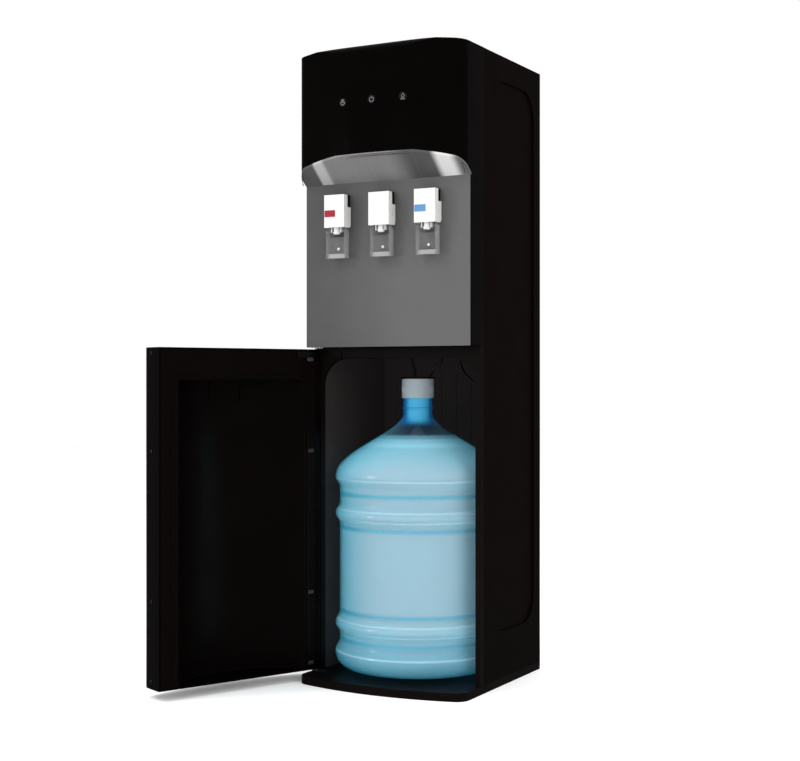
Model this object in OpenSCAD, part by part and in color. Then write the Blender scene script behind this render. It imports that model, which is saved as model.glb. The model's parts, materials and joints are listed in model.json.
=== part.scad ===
// Floor-standing bottom-load water dispenser: three push taps over a bottle bay with a hinged door.
// Frame: +Z up, the front faces -Y, the hinge side is -X, the origin is the middle of the base's underside.

/* [Cabinet] */
// Width over the side panels
body_w = 310; // [296:1:340]
// Height over the top cover
body_h = 1050; // [1000:1:1120]
// Depth of the cabinet behind the front plane
body_d = 285; // [280:1:330]
// How far the bowed front stands ahead of the front plane, at its middle
front_bow = 45; // [40:1:50]
// Radius of the bowed front in plan
bow_r = 510; // [460:10:620]
// Radius of the two upright front corners
corner_r = 22; // [18:1:26]
// Radius of the crown, where the front rolls over to the top
crown_r = 26; // [16:1:32]
// How far the fascia's arched top rises over the top cover at its middle
crown_rise = 8; // [2:1:12]
// Thickness of the moulded plastic walls
wall = 3; // [2:0.5:4]
// Thickness of the sheet steel
sheet = 1.2; // [0.8:0.1:1.6]
// Height of the base pan
base_h = 14; // [12:1:18]
// Depth of the pressed field in each side panel
press_d = 2; // [1:0.5:3]

/* [Tap alcove] */
// Height of the lower edge of the upper fascia
fascia_z = 565; // [558:1:575]
// Set-back of the tap panel behind the front plane
panel_back = 3; // [2:1:8]
// Thickness of the tap panel and the hood
trim_t = 2; // [1.5:0.5:3]
// Height at which the tap panel ends and the hood begins
hood_z = 838; // [825:1:850]
// Rise of the hood from the tap panel to its front lip
hood_rise = 38; // [30:1:44]
// Radius of the hood's two upper corners
hood_r = 38; // [30:1:44]

/* [Taps] */
// Spacing of the three taps
tap_pitch = 84.5; // [70:0.5:95]
// Width of a tap body
tap_w = 38; // [34:1:44]
// Height of the top of a tap body
tap_top = 817; // [805:1:820]
// Height of a tap body
tap_h = 54; // [48:1:58]
// How far a tap stands out from the tap panel
tap_out = 25; // [23:1:28]
// Radius of a spout
spout_r = 5; // [4:0.5:6]
// Length of a paddle below its pivot
paddle_l = 70; // [60:1:74]
// Radius of a paddle's pivot pin
pivot_r = 1.25; // [1:0.05:1.5]
// Radial clearance of a pin in its moving bore
pin_gap = 0.05; // [0.02:0.01:0.1]

/* [Door] */
// Angle at which the open door stands
door_open = 114; // [0:1:118]
// Radius of the door's rounded hinge edge
barrel_r = 6; // [5:0.5:6]
// Gap between the closed door and the lower frame
door_gap = 5; // [4.5:0.5:7]
// Depth of the door behind the front plane
door_back = 33; // [30:1:36]
// Gap above and below the door
door_slack = 3; // [2:0.5:4]
// Clearance between the bottle and the door's inner recess
recess_gap = 5; // [3:0.5:8]
// Height of the top of the door's recess
recess_top = 510; // [490:1:520]
// Depth of the frame round the bay's opening
frame_t = 14; // [10:1:18]
// Radius of a door hinge pin
hinge_r = 3; // [2.5:0.1:3.5]

/* [Bottle bay] */
// Half the width of the bay's opening
bay_half = 146; // [143:0.5:147]
// Height of the frame's header above the floor
header_z = 546; // [540:1:552]
// Height of the bay's ceiling
ceiling_z = 556; // [553:1:558]

/* [Bottle] */
// Radius of the bottle at its rings
bottle_r = 141; // [130:0.5:141.5]
// Distance of the bottle's axis behind the front plane
bottle_back = 116; // [110:1:117]
// Height at which the bottle's shoulder runs into its neck
shoulder_z = 450; // [436:1:460]
// Height at which the bottle's shoulder starts
shoulder_foot = 347; // [335:1:355]
// Height of the top of the bottle's cap
cap_top = 515; // [500:1:520]
// Radius of the bottle's neck
neck_r = 25; // [20:1:26]
// Thickness of the bottle's wall
bottle_t = 1.2; // [0.8:0.1:2]
// How far the bottle's rings stand out from its wall
ring_d = 7.5; // [3:0.5:9]

/* [Hidden] */

$fn = 72;
fine = 360;                     // facets of the long bowed curves, drawn as true circles
over = 1;                       // how far a cutter runs past what it cuts

// The front's plan
y_front = -(body_d + front_bow) / 2;
y_plane = y_front + front_bow;
y_back = y_plane + body_d;
y_bow = y_front + bow_r;
arch_r = (pow(body_w / 2, 2) + pow(crown_rise, 2)) / (2 * crown_rise);
corner_x = body_w / 2 - corner_r;
corner_y = y_bow - sqrt(pow(bow_r - corner_r, 2) - pow(corner_x, 2));
y_panel = y_plane + panel_back;
y_door = y_plane + door_back;
y_frame = y_door + door_gap;
y_seam = y_frame + frame_t;
side_half = body_w / 2;

// The door and its hinge
door_z0 = base_h + door_slack;
door_z1 = fascia_z - door_slack;
skin_t = 3;
hinge_x = -side_half + barrel_r;
hinge_y = y_door - barrel_r;
hinge_plate = 1.2;
pin_l = 12;

// The bottle
bottle_y = y_plane + bottle_back;
bottle_z = door_z0 + skin_t + 0.8;
seat_r = 80;
bottle_foot = 28;
recess_r = bottle_r + recess_gap;
cap_h = 36;
cap_r = neck_r + 2.5;
flange_t = 3;

// The taps
y_tap = y_panel - tap_out;
tap_z = tap_top - tap_h;
tap_step_z = tap_top - 20;
tap_face_t = 12;
tap_wall = 2.3;
tap_roof = 27;
y_pivot = y_tap + 13;
pivot_z = tap_z + 19;
paddle_z = pivot_z - paddle_l;
arm_t = 3;
arm_half = tap_w / 2 - tap_wall - 0.6;
y_spout = y_tap + 9;
spout_z = tap_z - 11;

// The machinery
deck_z = 735;
cold_x = 66;
cold_y = 62;
cold_r = 52;
cold_jacket_r = 74;
cold_h = 190;
coil_r = 4;
hot_x = -78;
hot_y = 40;
hot_r = 52;
hot_h = 175;
comp_x = -72;
comp_y = 70;
comp_r = 62;
pump_x = 80;
pump_front = y_seam + 6;
pump_port_z = fascia_z + 45;
y_rear_panel = y_back - 15;
switch_z = 905;
switch_x = 118;
drain_z = 600;

// ---------------------------------------------------------------- shared outlines

// The cabinet's plan ahead of y_rear, drawn smaller by inset all round its front.
module front_plan(inset = 0, y_rear = y_seam) {
    half = side_half - inset;
    tangent_x = corner_x * (bow_r - inset) / (bow_r - corner_r);
    intersection() {
        translate([0, y_bow]) circle(r = bow_r - inset, $fn = fine);
        translate([-tangent_x, y_front - over]) square([2 * tangent_x, y_rear - y_front + over]);
    }
    for (s = [-1, 1]) translate([s * corner_x, corner_y]) circle(r = corner_r - inset);
    translate([-half, corner_y]) square([2 * half, y_rear - corner_y]);
}

// A centred rectangle with round corners.
module round_rect(w, h, r) {
    square([w - 2 * r, h], center = true);
    square([w, h - 2 * r], center = true);
    for (sx = [-1, 1], sy = [-1, 1])
        translate([sx * (w / 2 - r), sy * (h / 2 - r)]) circle(r = r);
}

// A block from one corner to the opposite one.
module block(from, to) {
    translate(from) cube(to - from);
}

// Lays a YZ outline along X, from x0 to x1.
module along_x(x0, x1) {
    translate([x0, 0, 0]) rotate([90, 0, 90]) linear_extrude(x1 - x0) children();
}

// A rod along X, Y or Z from its first end.
module rod_x(p, l, r) { translate(p) rotate([0, 90, 0]) cylinder(h = l, r = r); }
module rod_y(p, l, r) { translate(p) rotate([-90, 0, 0]) cylinder(h = l, r = r); }
module rod_z(p, l, r) { translate(p) cylinder(h = l, r = r); }

// ---------------------------------------------------------------- cabinet

// Pockets under the base, which leave a cross of ribs through the middle.
pocket_x = 58;
pocket_y = 96;
pocket_pitch = 68;
rib_half = 9;
module base_pan() {
    color([0.06, 0.06, 0.06]) difference() {
        linear_extrude(base_h) front_plan(0, y_back);
        for (sx = [-1, 1], sy = [-1, 1], i = [0, 1])
            translate([sx * (rib_half + pocket_x / 2 + i * pocket_pitch), sy * (rib_half + pocket_y / 2), 0])
                cube([pocket_x, pocket_y, 2 * (base_h - wall)], center = true);
    }
}

// A side panel with its pressed field, drawn for the +X side.
field_margin = 22;
module side_panel() {
    panel_d = y_back - y_seam;
    z0 = base_h;
    z1 = body_h - sheet;
    mid = [(y_seam + y_back) / 2, (z0 + z1) / 2 + 18];
    field = [panel_d - 2 * field_margin - 12, z1 - z0 - 118];
    field_r = 46;
    translate([side_half - sheet, 0, 0]) rotate([90, 0, 90]) {
        linear_extrude(sheet) difference() {
            translate([y_seam, z0]) square([panel_d, z1 - z0]);
            translate(mid) round_rect(field[0], field[1], field_r);
        }
        translate([0, 0, -press_d]) linear_extrude(press_d) difference() {
            translate(mid) round_rect(field[0] + 2 * sheet, field[1] + 2 * sheet, field_r + sheet);
            translate(mid) round_rect(field[0], field[1], field_r);
        }
        translate([0, 0, -press_d - sheet]) linear_extrude(sheet)
            translate(mid) round_rect(field[0] + 2 * sheet, field[1] + 2 * sheet, field_r + sheet);
    }
}
module side_panel_left() { color([0.07, 0.06, 0.06]) mirror([1, 0, 0]) side_panel(); }
module side_panel_right() { color([0.07, 0.06, 0.06]) side_panel(); }

vent_count = 9;
vent_pitch = 11;
module back_panel() {
    half = side_half - sheet - 0.2;
    color([0.1, 0.1, 0.1]) difference() {
        block([-half, y_rear_panel, base_h], [half, y_rear_panel + sheet, body_h - sheet]);
        for (bank_z = [120, 420], i = [0 : vent_count - 1], s = [-1, 1])
            translate([s * 66, y_rear_panel - over, bank_z + i * vent_pitch])
                cube([92, 4, 5], center = true);
        rod_y([switch_x, y_rear_panel - over, 640], 4, 9);
        rod_y([0, y_rear_panel - over, drain_z], 4, 12);
        translate([switch_x - 22, y_rear_panel - over, switch_z - 24]) cube([24, 4, 48]);
    }
}

module back_screws() {
    color("silver") for (s = [-1, 1], z = [40, 380, 720, 1020])
        rod_y([s * (side_half - 12), y_rear_panel + sheet, z], 2, 4);
}

module top_cover() {
    color([0.07, 0.06, 0.06]) {
        block([-side_half, y_seam, body_h - sheet], [side_half, y_back, body_h]);
        block([-side_half + sheet, y_back - sheet, body_h - 14],
              [side_half - sheet, y_back, body_h - sheet]);
    }
}

// The space of the tap alcove, and of what lines it when it's grown by a thickness.
hood_run = front_bow;
module alcove(grow = 0) {
    slope_z = hood_z + grow;
    y_in = y_panel + grow;
    steep = hood_rise / hood_run;
    reach = y_in - y_front + 20;
    half = side_half + over;
    top = hood_z + hood_rise + grow;
    intersection() {
        along_x(-side_half - 5, side_half + 5)
            polygon([[y_in, fascia_z - 5], [y_in, slope_z], [y_in - reach, slope_z + reach * steep],
                     [y_in - reach, fascia_z - 5]]);
        translate([0, y_panel + 20, 0]) rotate([90, 0, 0]) linear_extrude(120) {
            translate([-half - grow, fascia_z - 5]) square([2 * (half + grow), top - hood_r - fascia_z + 5]);
            translate([hood_r - half, top - hood_r - over])
                square([2 * (half - hood_r), hood_r + over]);
            for (s = [-1, 1]) translate([s * (half - hood_r), top - hood_r - grow])
                circle(r = hood_r + grow);
        }
    }
}

// The upper front as one block, with its rolled-over crown, drawn smaller by inset.
module front_block(inset) {
    top = body_h + crown_rise - inset;
    intersection() {
        translate([0, 0, fascia_z + inset]) linear_extrude(top - fascia_z - inset) front_plan(inset);
        along_x(-side_half - over, side_half + over) {
            translate([y_front + crown_r, fascia_z]) square([y_seam - y_front, top - fascia_z]);
            translate([y_front - over, fascia_z]) square([crown_r + 2 * over, top - crown_r - fascia_z]);
            translate([y_front + crown_r, top - crown_r]) circle(r = crown_r - inset);
        }
        rod_y([0, y_front - over, top - arch_r], y_seam - y_front + 3 * over, arch_r, $fn = 4 * fine);
    }
}

lens_x = 56;
lens_z = 964;
lens_r = 7;
module lens_rods(r) {
    for (i = [-1 : 1]) rod_y([i * lens_x, y_front - over, lens_z], 20, r);
}
module tap_hole_rods(r) {
    for (i = [-1 : 1]) rod_y([i * tap_pitch, y_panel - over, tap_top - 10], 12, r);
}

module front_fascia() {
    color([0.02, 0.02, 0.02]) difference() {
        front_block(0);
        difference() {
            intersection() {
                translate([0, over, 0]) front_block(wall);
                block([-side_half, y_front, fascia_z + wall], [side_half, y_seam + over, body_h - wall]);
            }
            alcove(trim_t + wall);
        }
        alcove(trim_t);
        lens_rods(lens_r);
        tap_hole_rods(8);
    }
}

// What lines the alcove between two heights.
module alcove_lining(z0, z1, side_gap) {
    intersection() {
        difference() {
            alcove(trim_t);
            alcove(0);
        }
        translate([0, 0, z0]) linear_extrude(z1 - z0) front_plan(0);
        block([-side_half + side_gap, y_front - over, z0], [side_half - side_gap, y_seam, z1]);
    }
}
module hood_strip() {
    color([0.72, 0.72, 0.72]) alcove_lining(hood_z, body_h, 0);
}
module tap_panel() {
    color([0.45, 0.46, 0.47]) difference() {
        alcove_lining(fascia_z, hood_z, 1.5);
        tap_hole_rods(8);
    }
}

// The frame round the bay's opening, with a curved gusset in each top corner.
gusset_r = 46;
module front_frame() {
    color([0.03, 0.03, 0.03]) translate([0, y_seam, 0]) rotate([90, 0, 0]) linear_extrude(frame_t)
        difference() {
            translate([-side_half, base_h]) square([body_w, fascia_z - base_h]);
            translate([-bay_half, base_h - over]) square([2 * bay_half, header_z - base_h - gusset_r + over]);
            translate([gusset_r - bay_half, header_z - gusset_r - over])
                square([2 * (bay_half - gusset_r), gusset_r + over]);
            for (s = [-1, 1]) translate([s * (bay_half - gusset_r), header_z - gusset_r])
                circle(r = gusset_r);
        }
}

// The bay's dark lining: two cheeks, a ribbed rear wall and a ceiling.
liner_t = 1.6;
liner_back = 6;
rib_count = 9;
rib_pitch = 30;
rib_proud = 2;
y_bay = y_rear_panel - liner_back;
module bay_liner() {
    half = bay_half + 1;
    color([0.05, 0.05, 0.05]) difference() {
        union() {
            block([-half - liner_t, y_seam, base_h], [-half, y_bay, ceiling_z]);
            block([half, y_seam, base_h], [half + liner_t, y_bay, ceiling_z]);
            block([-half, y_bay - liner_t, base_h], [half, y_bay, ceiling_z]);
            block([-half - liner_t, y_seam, ceiling_z], [half + liner_t, y_bay, ceiling_z + liner_t]);
            for (i = [0 : rib_count - 1])
                block([(i - (rib_count - 1) / 2) * rib_pitch - 1.5, y_bay - liner_t - rib_proud, 150],
                      [(i - (rib_count - 1) / 2) * rib_pitch + 1.5, y_bay - liner_t, 520]);
            block([-half, y_bay - liner_t - rib_proud, 470], [half, y_bay - liner_t, 473]);
        }
        for (hole = hose_tops) rod_z([hole[0], hole[1], ceiling_z - over], liner_t + 2 * over, hose_r + 1);
    }
}

// A low curb behind the bottle that stops it against the rear wall.
module bottle_stop() {
    color([0.04, 0.04, 0.04]) intersection() {
        translate([0, bottle_y, base_h]) linear_extrude(16) difference() {
            circle(r = bottle_r + 4, $fn = fine);
            circle(r = bottle_r + 1.5, $fn = fine);
        }
        block([-side_half, bottle_y + 60, base_h], [side_half, y_bay, base_h + 20]);
    }
}

// The raised seat that lifts the bottle over the closed door's lower edge.
module bottle_seat() {
    top = bottle_z - 0.4;
    color([0.05, 0.05, 0.05]) difference() {
        rod_z([0, bottle_y, base_h], top - base_h, seat_r);
        for (r = [20 : 20 : seat_r - 10]) translate([0, bottle_y, top - 1.5]) difference() {
            cylinder(h = 1.5 + over, r = r + 2);
            translate([0, 0, -over]) cylinder(h = 2 + 3 * over, r = r - 2);
        }
    }
}

module equipment_shelf() {
    color([0.55, 0.56, 0.57]) difference() {
        block([-side_half + 6, y_seam, fascia_z + 1], [side_half - 6, y_bay, fascia_z + 1 + sheet]);
        for (hole = hose_tops) rod_z([hole[0], hole[1], fascia_z], 5, hose_r + 1);
    }
}

// ---------------------------------------------------------------- door hardware on the cabinet

module hinge_pins() {
    color("silver") {
        block([hinge_x - 5, hinge_y - 7, base_h], [hinge_x + 18, hinge_y + 5, base_h + hinge_plate]);
        rod_z([hinge_x, hinge_y, base_h + hinge_plate], pin_l, hinge_r);
        block([hinge_x - 5, hinge_y - 7, fascia_z - hinge_plate], [hinge_x + 18, hinge_y + 5, fascia_z]);
        rod_z([hinge_x, hinge_y, fascia_z - hinge_plate - pin_l], pin_l, hinge_r);
    }
}

catch_x = -121;
catch_half = 15;
module magnet_catch() {
    color([0.2, 0.2, 0.2])
        block([catch_x - catch_half, y_frame - 2.5, header_z + 2],
              [catch_x + catch_half, y_frame, header_z + 12]);
}

// ---------------------------------------------------------------- controls

module indicator_lenses() {
    color([0.35, 0.35, 0.36]) intersection() {
        lens_rods(lens_r - 0.05);
        translate([0, 0, lens_z - 20]) linear_extrude(40) difference() {
            front_plan(0);
            front_plan(wall);
        }
    }
}

module control_board() {
    y_board = y_front + 14;
    color([0.05, 0.3, 0.12]) {
        block([-78, y_board, lens_z - 22], [78, y_board + 1.6, lens_z + 20]);
        for (i = [-1 : 1])
            block([i * lens_x - 4, y_board - 3, lens_z - 4], [i * lens_x + 4, y_board, lens_z + 4]);
    }
}

// ---------------------------------------------------------------- taps

// A tap's white body: a tall face with a deeper skirt round the spout and the paddle's pivot.
module tap_body(x) {
    half = tap_w / 2;
    color([0.93, 0.93, 0.92]) difference() {
        along_x(x - half, x + half) {
            translate([y_tap, tap_z + 6]) square([tap_face_t, tap_h - 6]);
            translate([y_tap, tap_z]) square([tap_out - 8, tap_step_z - tap_z]);
            translate([y_panel - 8, tap_z + 6]) circle(r = 6);
            translate([y_panel - 8 - over, tap_z + 6]) square([6 + over, tap_step_z - tap_z - 6]);
        }
        block([x - half + tap_wall, y_tap + tap_wall, tap_z - over],
              [x + half - tap_wall, y_panel - 2 - tap_wall, tap_z + tap_roof]);
        rod_x([x - half - over, y_pivot, pivot_z], tap_w + 2 * over, pivot_r);
    }
}
module tap_body_hot() { tap_body(-tap_pitch); }
module tap_body_room() { tap_body(0); }
module tap_body_cold() { tap_body(tap_pitch); }

module tap_spouts() {
    roof_z = tap_z + tap_roof;
    color([0.9, 0.9, 0.89]) for (i = [-1 : 1]) difference() {
        union() {
            rod_z([i * tap_pitch, y_spout, spout_z], roof_z - spout_z, spout_r);
            for (s = [-1, 1])
                block([i * tap_pitch + s * 8.5 - 0.8, y_spout - 3, spout_z + 3],
                      [i * tap_pitch + s * 8.5 + 0.8, y_spout + 3, roof_z]);
        }
        rod_z([i * tap_pitch, y_spout, spout_z - over], roof_z - spout_z, spout_r - 2);
    }
}

module tap_brackets() {
    half = tap_w / 2 - 3;
    color([0.04, 0.04, 0.04]) for (i = [-1 : 1]) {
        block([i * tap_pitch - half, y_tap + tap_face_t, tap_step_z],
              [i * tap_pitch + half, y_panel, tap_top + 1]);
        rod_y([i * tap_pitch, y_panel, tap_top - 10], 10, 6);
    }
}

module tap_pins() {
    inner = arm_half - arm_t - 0.5;
    pin = tap_w / 2 - 0.2 - inner;
    color("silver") for (i = [-1 : 1], x = [-inner - pin, inner])
        rod_x([i * tap_pitch + x, y_pivot, pivot_z], pin, pivot_r);
}

badge_w = 20;
badge_h = 11;
module badge(x) {
    translate([x - 8, y_tap, tap_z + 23]) rotate([90, 0, 0])
        linear_extrude(0.6) square([badge_w, badge_h], center = true);
}
module hot_badge() { color([0.75, 0.05, 0.1]) badge(-tap_pitch); }
module cold_badge() { color([0.25, 0.55, 0.85]) badge(tap_pitch); }

// A clear push paddle: two arms on the pivot, a rear plate and a bar along the bottom.
module paddle(x) {
    y_plate = y_tap + 15;
    plate_t = 1.5;
    hub_r = 3.4;
    arm_top = tap_z - 2;
    skirt = tap_w / 2;
    color([0.8, 0.82, 0.84, 0.6]) difference() {
        union() {
            for (s = [-1, 1]) {
                arm_x = x + s * (arm_half - arm_t / 2);
                outer_x = x + s * (skirt - arm_t / 2);
                rod_x([arm_x - arm_t / 2, y_pivot, pivot_z], arm_t, hub_r);
                block([arm_x - arm_t / 2, y_pivot - 3, arm_top - 4],
                      [arm_x + arm_t / 2, y_pivot + 3, pivot_z]);
                block([min(arm_x, outer_x) - arm_t / 2, y_tap + 6, arm_top - 5],
                      [max(arm_x, outer_x) + arm_t / 2, y_plate + plate_t, arm_top - 2]);
                block([outer_x - arm_t / 2, y_tap + 6, paddle_z],
                      [outer_x + arm_t / 2, y_plate + plate_t, arm_top - 3]);
            }
            block([x - skirt, y_plate, paddle_z], [x + skirt, y_plate + plate_t, spout_z - 4]);
            block([x - skirt, y_plate - 5, paddle_z], [x + skirt, y_plate + plate_t, paddle_z + 8]);
        }
        rod_x([x - tap_w, y_pivot, pivot_z], 2 * tap_w, pivot_r + pin_gap);
    }
}
module paddle_hot() { paddle(-tap_pitch); }
module paddle_room() { paddle(0); }
module paddle_cold() { paddle(tap_pitch); }

// Round hoses swept along hand-chosen routes: rings of points, square to the route. A route never runs along
// square_to, which keeps its rings from twisting.
function unit(v) = v / norm(v);
function run(p, i) = unit(p[min(i + 1, len(p) - 1)] - p[max(i - 1, 0)]);
function ring(c, dir, r, sides, square_to) =
    let (u = unit(cross(dir, square_to)), v = cross(dir, u))
    [for (k = [0 : sides - 1]) c + r * (cos(360 * k / sides) * u + sin(360 * k / sides) * v)];
function bezier(a, b, c, d, n) =
    [for (i = [0 : n]) let (t = i / n, s = 1 - t)
        s * s * s * a + 3 * s * s * t * b + 3 * s * t * t * c + t * t * t * d];
module hose(route, r, square_to, sides = 10) {
    n = len(route);
    points = [for (i = [0 : n - 1]) each ring(route[i], run(route, i), r, sides, square_to)];
    side_faces = [for (i = [0 : n - 2], k = [0 : sides - 1])
        [i * sides + k, i * sides + (k + 1) % sides, (i + 1) * sides + (k + 1) % sides, (i + 1) * sides + k]];
    first = [for (k = [0 : sides - 1]) sides - 1 - k];
    last = [for (k = [0 : sides - 1]) (n - 1) * sides + k];
    polyhedron(points, concat([first], side_faces, [last]));
}

module tap_hoses() {
    r = 4;
    z = tap_top - 10;
    y0 = y_panel + 12;
    color([0.85, 0.86, 0.84]) {
        hose(bezier([-tap_pitch, y0, z], [-tap_pitch, y0 + 30, z], [hot_x, hot_y - hot_r - 25, z + 20],
                    [hot_x, hot_y - hot_r - 0.5, z + 20], 10), r, [1, 0, 0]);
        hose(bezier([tap_pitch, y0, z], [tap_pitch, y0 + 20, z],
                    [cold_x, cold_y - cold_jacket_r - 15, z + 10],
                    [cold_x, cold_y - cold_jacket_r - 0.5, z + 10], 10), r, [1, 0, 0]);
        hose(bezier([0, y0, z], [0, y0 + 25, z], [pump_x, pump_front - 35, pump_port_z],
                    [pump_x, pump_front - 2, pump_port_z], 12), r, [1, 0, 0]);
    }
}

// ---------------------------------------------------------------- machinery

module tank_deck() {
    color([0.55, 0.56, 0.57]) {
        block([-side_half + 6, y_seam + 4, deck_z], [side_half - 6, y_bay, deck_z + sheet]);
        for (s = [-1, 1])
            block([s * (side_half - 7) - 1, y_seam + 4, fascia_z + 1 + sheet],
                  [s * (side_half - 7) + 1, y_bay, deck_z]);
    }
}

tank_z = deck_z + sheet;
module cold_tank() {
    color([0.8, 0.8, 0.8]) difference() {
        rod_z([cold_x, cold_y, tank_z + 14], cold_h - 28, cold_r);
        rod_z([cold_x, cold_y, tank_z + 16], cold_h - 32, cold_r - 2);
    }
}
module cold_tank_jacket() {
    color([0.9, 0.9, 0.85]) difference() {
        rod_z([cold_x, cold_y, tank_z], cold_h, cold_jacket_r);
        rod_z([cold_x, cold_y, tank_z + 14], cold_h - 28, cold_r + 2 * coil_r + 2);
    }
}
module evaporator_coil() {
    turns = 8;
    color([0.72, 0.45, 0.3]) for (i = [0 : turns - 1])
        translate([cold_x, cold_y, tank_z + 40 + i * 14]) rotate_extrude()
            translate([cold_r + coil_r + 0.3, 0]) circle(r = coil_r, $fn = 24);
}
module hot_tank() {
    color([0.78, 0.78, 0.8]) {
        rod_z([hot_x, hot_y, tank_z + 12], hot_h, hot_r);
        for (a = [0 : 120 : 359])
            translate([hot_x, hot_y, tank_z]) rotate(a) translate([hot_r - 10, 0, 0]) cylinder(h = 12, r = 4);
    }
}
module heater_band() {
    color([0.35, 0.33, 0.3]) translate([hot_x, hot_y, tank_z + 16]) linear_extrude(40) difference() {
        circle(r = hot_r + 4);
        circle(r = hot_r);
    }
}

module compressor() {
    foot_z = fascia_z + 1 + sheet + 12;
    color([0.03, 0.03, 0.03]) {
        rod_z([comp_x, comp_y, foot_z + 2], 86, comp_r);
        rod_z([comp_x, comp_y, foot_z + 88], 14, comp_r - 9);
        block([comp_x - 62, comp_y - 50, foot_z], [comp_x + 62, comp_y + 50, foot_z + 2]);
        rod_z([comp_x + 20, comp_y, foot_z + 102], 14, 4);
    }
}
module compressor_grommets() {
    color([0.1, 0.1, 0.1]) for (sx = [-1, 1], sy = [-1, 1])
        rod_z([comp_x + sx * 50, comp_y + sy * 40, fascia_z + 1 + sheet], 12, 9);
}
module water_pump() {
    pump_z = fascia_z + 1 + sheet;
    color([0.12, 0.12, 0.13]) {
        block([pump_x - 28, pump_front, pump_z], [pump_x + 28, pump_front + 56, pump_z + 60]);
        rod_z([pump_x, pump_front + 28, pump_z + 60], 20, 18);
    }
}
module filter_drier() {
    color([0.72, 0.45, 0.3]) rod_z([20, 110, fascia_z + 1 + sheet], 120, 10);
}

// The rear heat exchanger: one tube run to and fro, with upright wires behind it.
cond_half = 120;
cond_z0 = 250;
cond_pitch = 40;
cond_rows = 9;
cond_tube = 2.4;
module condenser() {
    y_tube = y_rear_panel + 8;
    color([0.03, 0.03, 0.03]) {
        for (i = [0 : cond_rows - 1])
            rod_x([-cond_half, y_tube, cond_z0 + i * cond_pitch], 2 * cond_half, cond_tube);
        for (i = [0 : cond_rows - 2])
            translate([i % 2 == 0 ? cond_half : -cond_half, y_tube, cond_z0 + (i + 0.5) * cond_pitch])
                rotate([90, i % 2 == 0 ? 0 : 180, 0]) rotate([0, 0, -90]) rotate_extrude(angle = 180)
                    translate([cond_pitch / 2, 0]) circle(r = cond_tube, $fn = 24);
        for (i = [-4 : 4])
            block([i * 27 - 0.8, y_tube + 1, cond_z0 - 12],
                  [i * 27 + 0.8, y_tube + 2.8, cond_z0 + (cond_rows - 1) * cond_pitch + 12]);
        for (s = [-1, 1], z = [cond_z0 + 30, cond_z0 + (cond_rows - 2) * cond_pitch + 10])
            block([s * 108 - 6, y_rear_panel + sheet, z - 3], [s * 108 + 6, y_tube + 2, z + 3]);
    }
}

// ---------------------------------------------------------------- rear controls

rocker_gap = 0.3;
rocker_axle = 1.2;
switch_cx = switch_x - 10;
module switch_bezel() {
    y_face = y_rear_panel + sheet;
    color([0.02, 0.02, 0.02]) difference() {
        union() {
            block([switch_cx - 14, y_face, switch_z - 27], [switch_cx + 14, y_face + 2.5, switch_z + 27]);
            block([switch_cx - 11, y_face - 16, switch_z - 23], [switch_cx + 11, y_face, switch_z + 23]);
        }
        for (s = [-1, 1])
            block([switch_cx - 8, y_face - 13, switch_z + s * 12 - 9],
                  [switch_cx + 8, y_face + 3, switch_z + s * 12 + 9]);
        for (s = [-1, 1]) rod_x([switch_cx - 10, y_face - 2, switch_z + s * 12], 20, rocker_axle + pin_gap);
    }
}
module rocker(z) {
    y_axle = y_rear_panel + sheet - 2;
    half = 8 - rocker_gap;
    along_x(switch_cx - half, switch_cx + half) translate([y_axle, z]) intersection() {
        circle(r = 8);
        translate([-5, -8]) square([13, 16]);
        translate([-5.5, 0]) rotate(24) square([24, 15.4], center = true);
        translate([-5.5, 0]) rotate(-24) square([24, 15.4], center = true);
    }
    rod_x([switch_cx - 9.6, y_axle, z], 19.2, rocker_axle);
}
module heater_switch() { color([0.7, 0.08, 0.06]) rocker(switch_z + 12); }
module cooler_switch() { color([0.1, 0.5, 0.2]) rocker(switch_z - 12); }

module power_gland() {
    color([0.02, 0.02, 0.02]) difference() {
        union() {
            rod_y([switch_x, y_rear_panel - 6, 640], 6 + sheet, 8.8);
            rod_y([switch_x, y_rear_panel + sheet, 640], 9, 12);
        }
        rod_y([switch_x, y_rear_panel - 6 - over, 640], 30, 4);
    }
}

drain_r = 8;
module drain_tube() {
    color([0.85, 0.85, 0.83]) difference() {
        union() {
            rod_y([0, y_rear_panel - 10, drain_z], 20, drain_r);
            rod_y([0, y_rear_panel + sheet, drain_z], 2, drain_r + 6);
        }
        rod_y([0, y_rear_panel - 10 - over, drain_z], 30, drain_r - 2.5);
    }
}
module drain_cap() {
    y_rim = y_rear_panel + sheet + 2.4;
    color([0.9, 0.9, 0.88]) difference() {
        rod_y([0, y_rim, drain_z], y_back - 1 - y_rim, drain_r + 3);
        rod_y([0, y_rim - over, drain_z], y_rear_panel + 10.4 - y_rim + over, drain_r + pin_gap);
    }
}

// ---------------------------------------------------------------- door, drawn closed and swung open

module swung() {
    translate([hinge_x, hinge_y, 0]) rotate(-door_open) translate([-hinge_x, -hinge_y, 0]) children();
}

// The closed door's plan, with its hinge edge rounded about the hinge.
module door_plan(inset = 0) {
    front_plan(inset, hinge_y);
    translate([hinge_x, hinge_y]) circle(r = barrel_r - inset);
    translate([hinge_x, hinge_y - over]) square([side_half - inset - hinge_x, barrel_r - inset + over]);
}
module recess_plan(r) {
    translate([0, bottle_y]) circle(r = r, $fn = fine);
}
module bush_holes(r) {
    for (z = [door_z0 - over, door_z1 - pin_l - over]) rod_z([hinge_x, hinge_y, z], pin_l + 2 * over, r);
}

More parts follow.
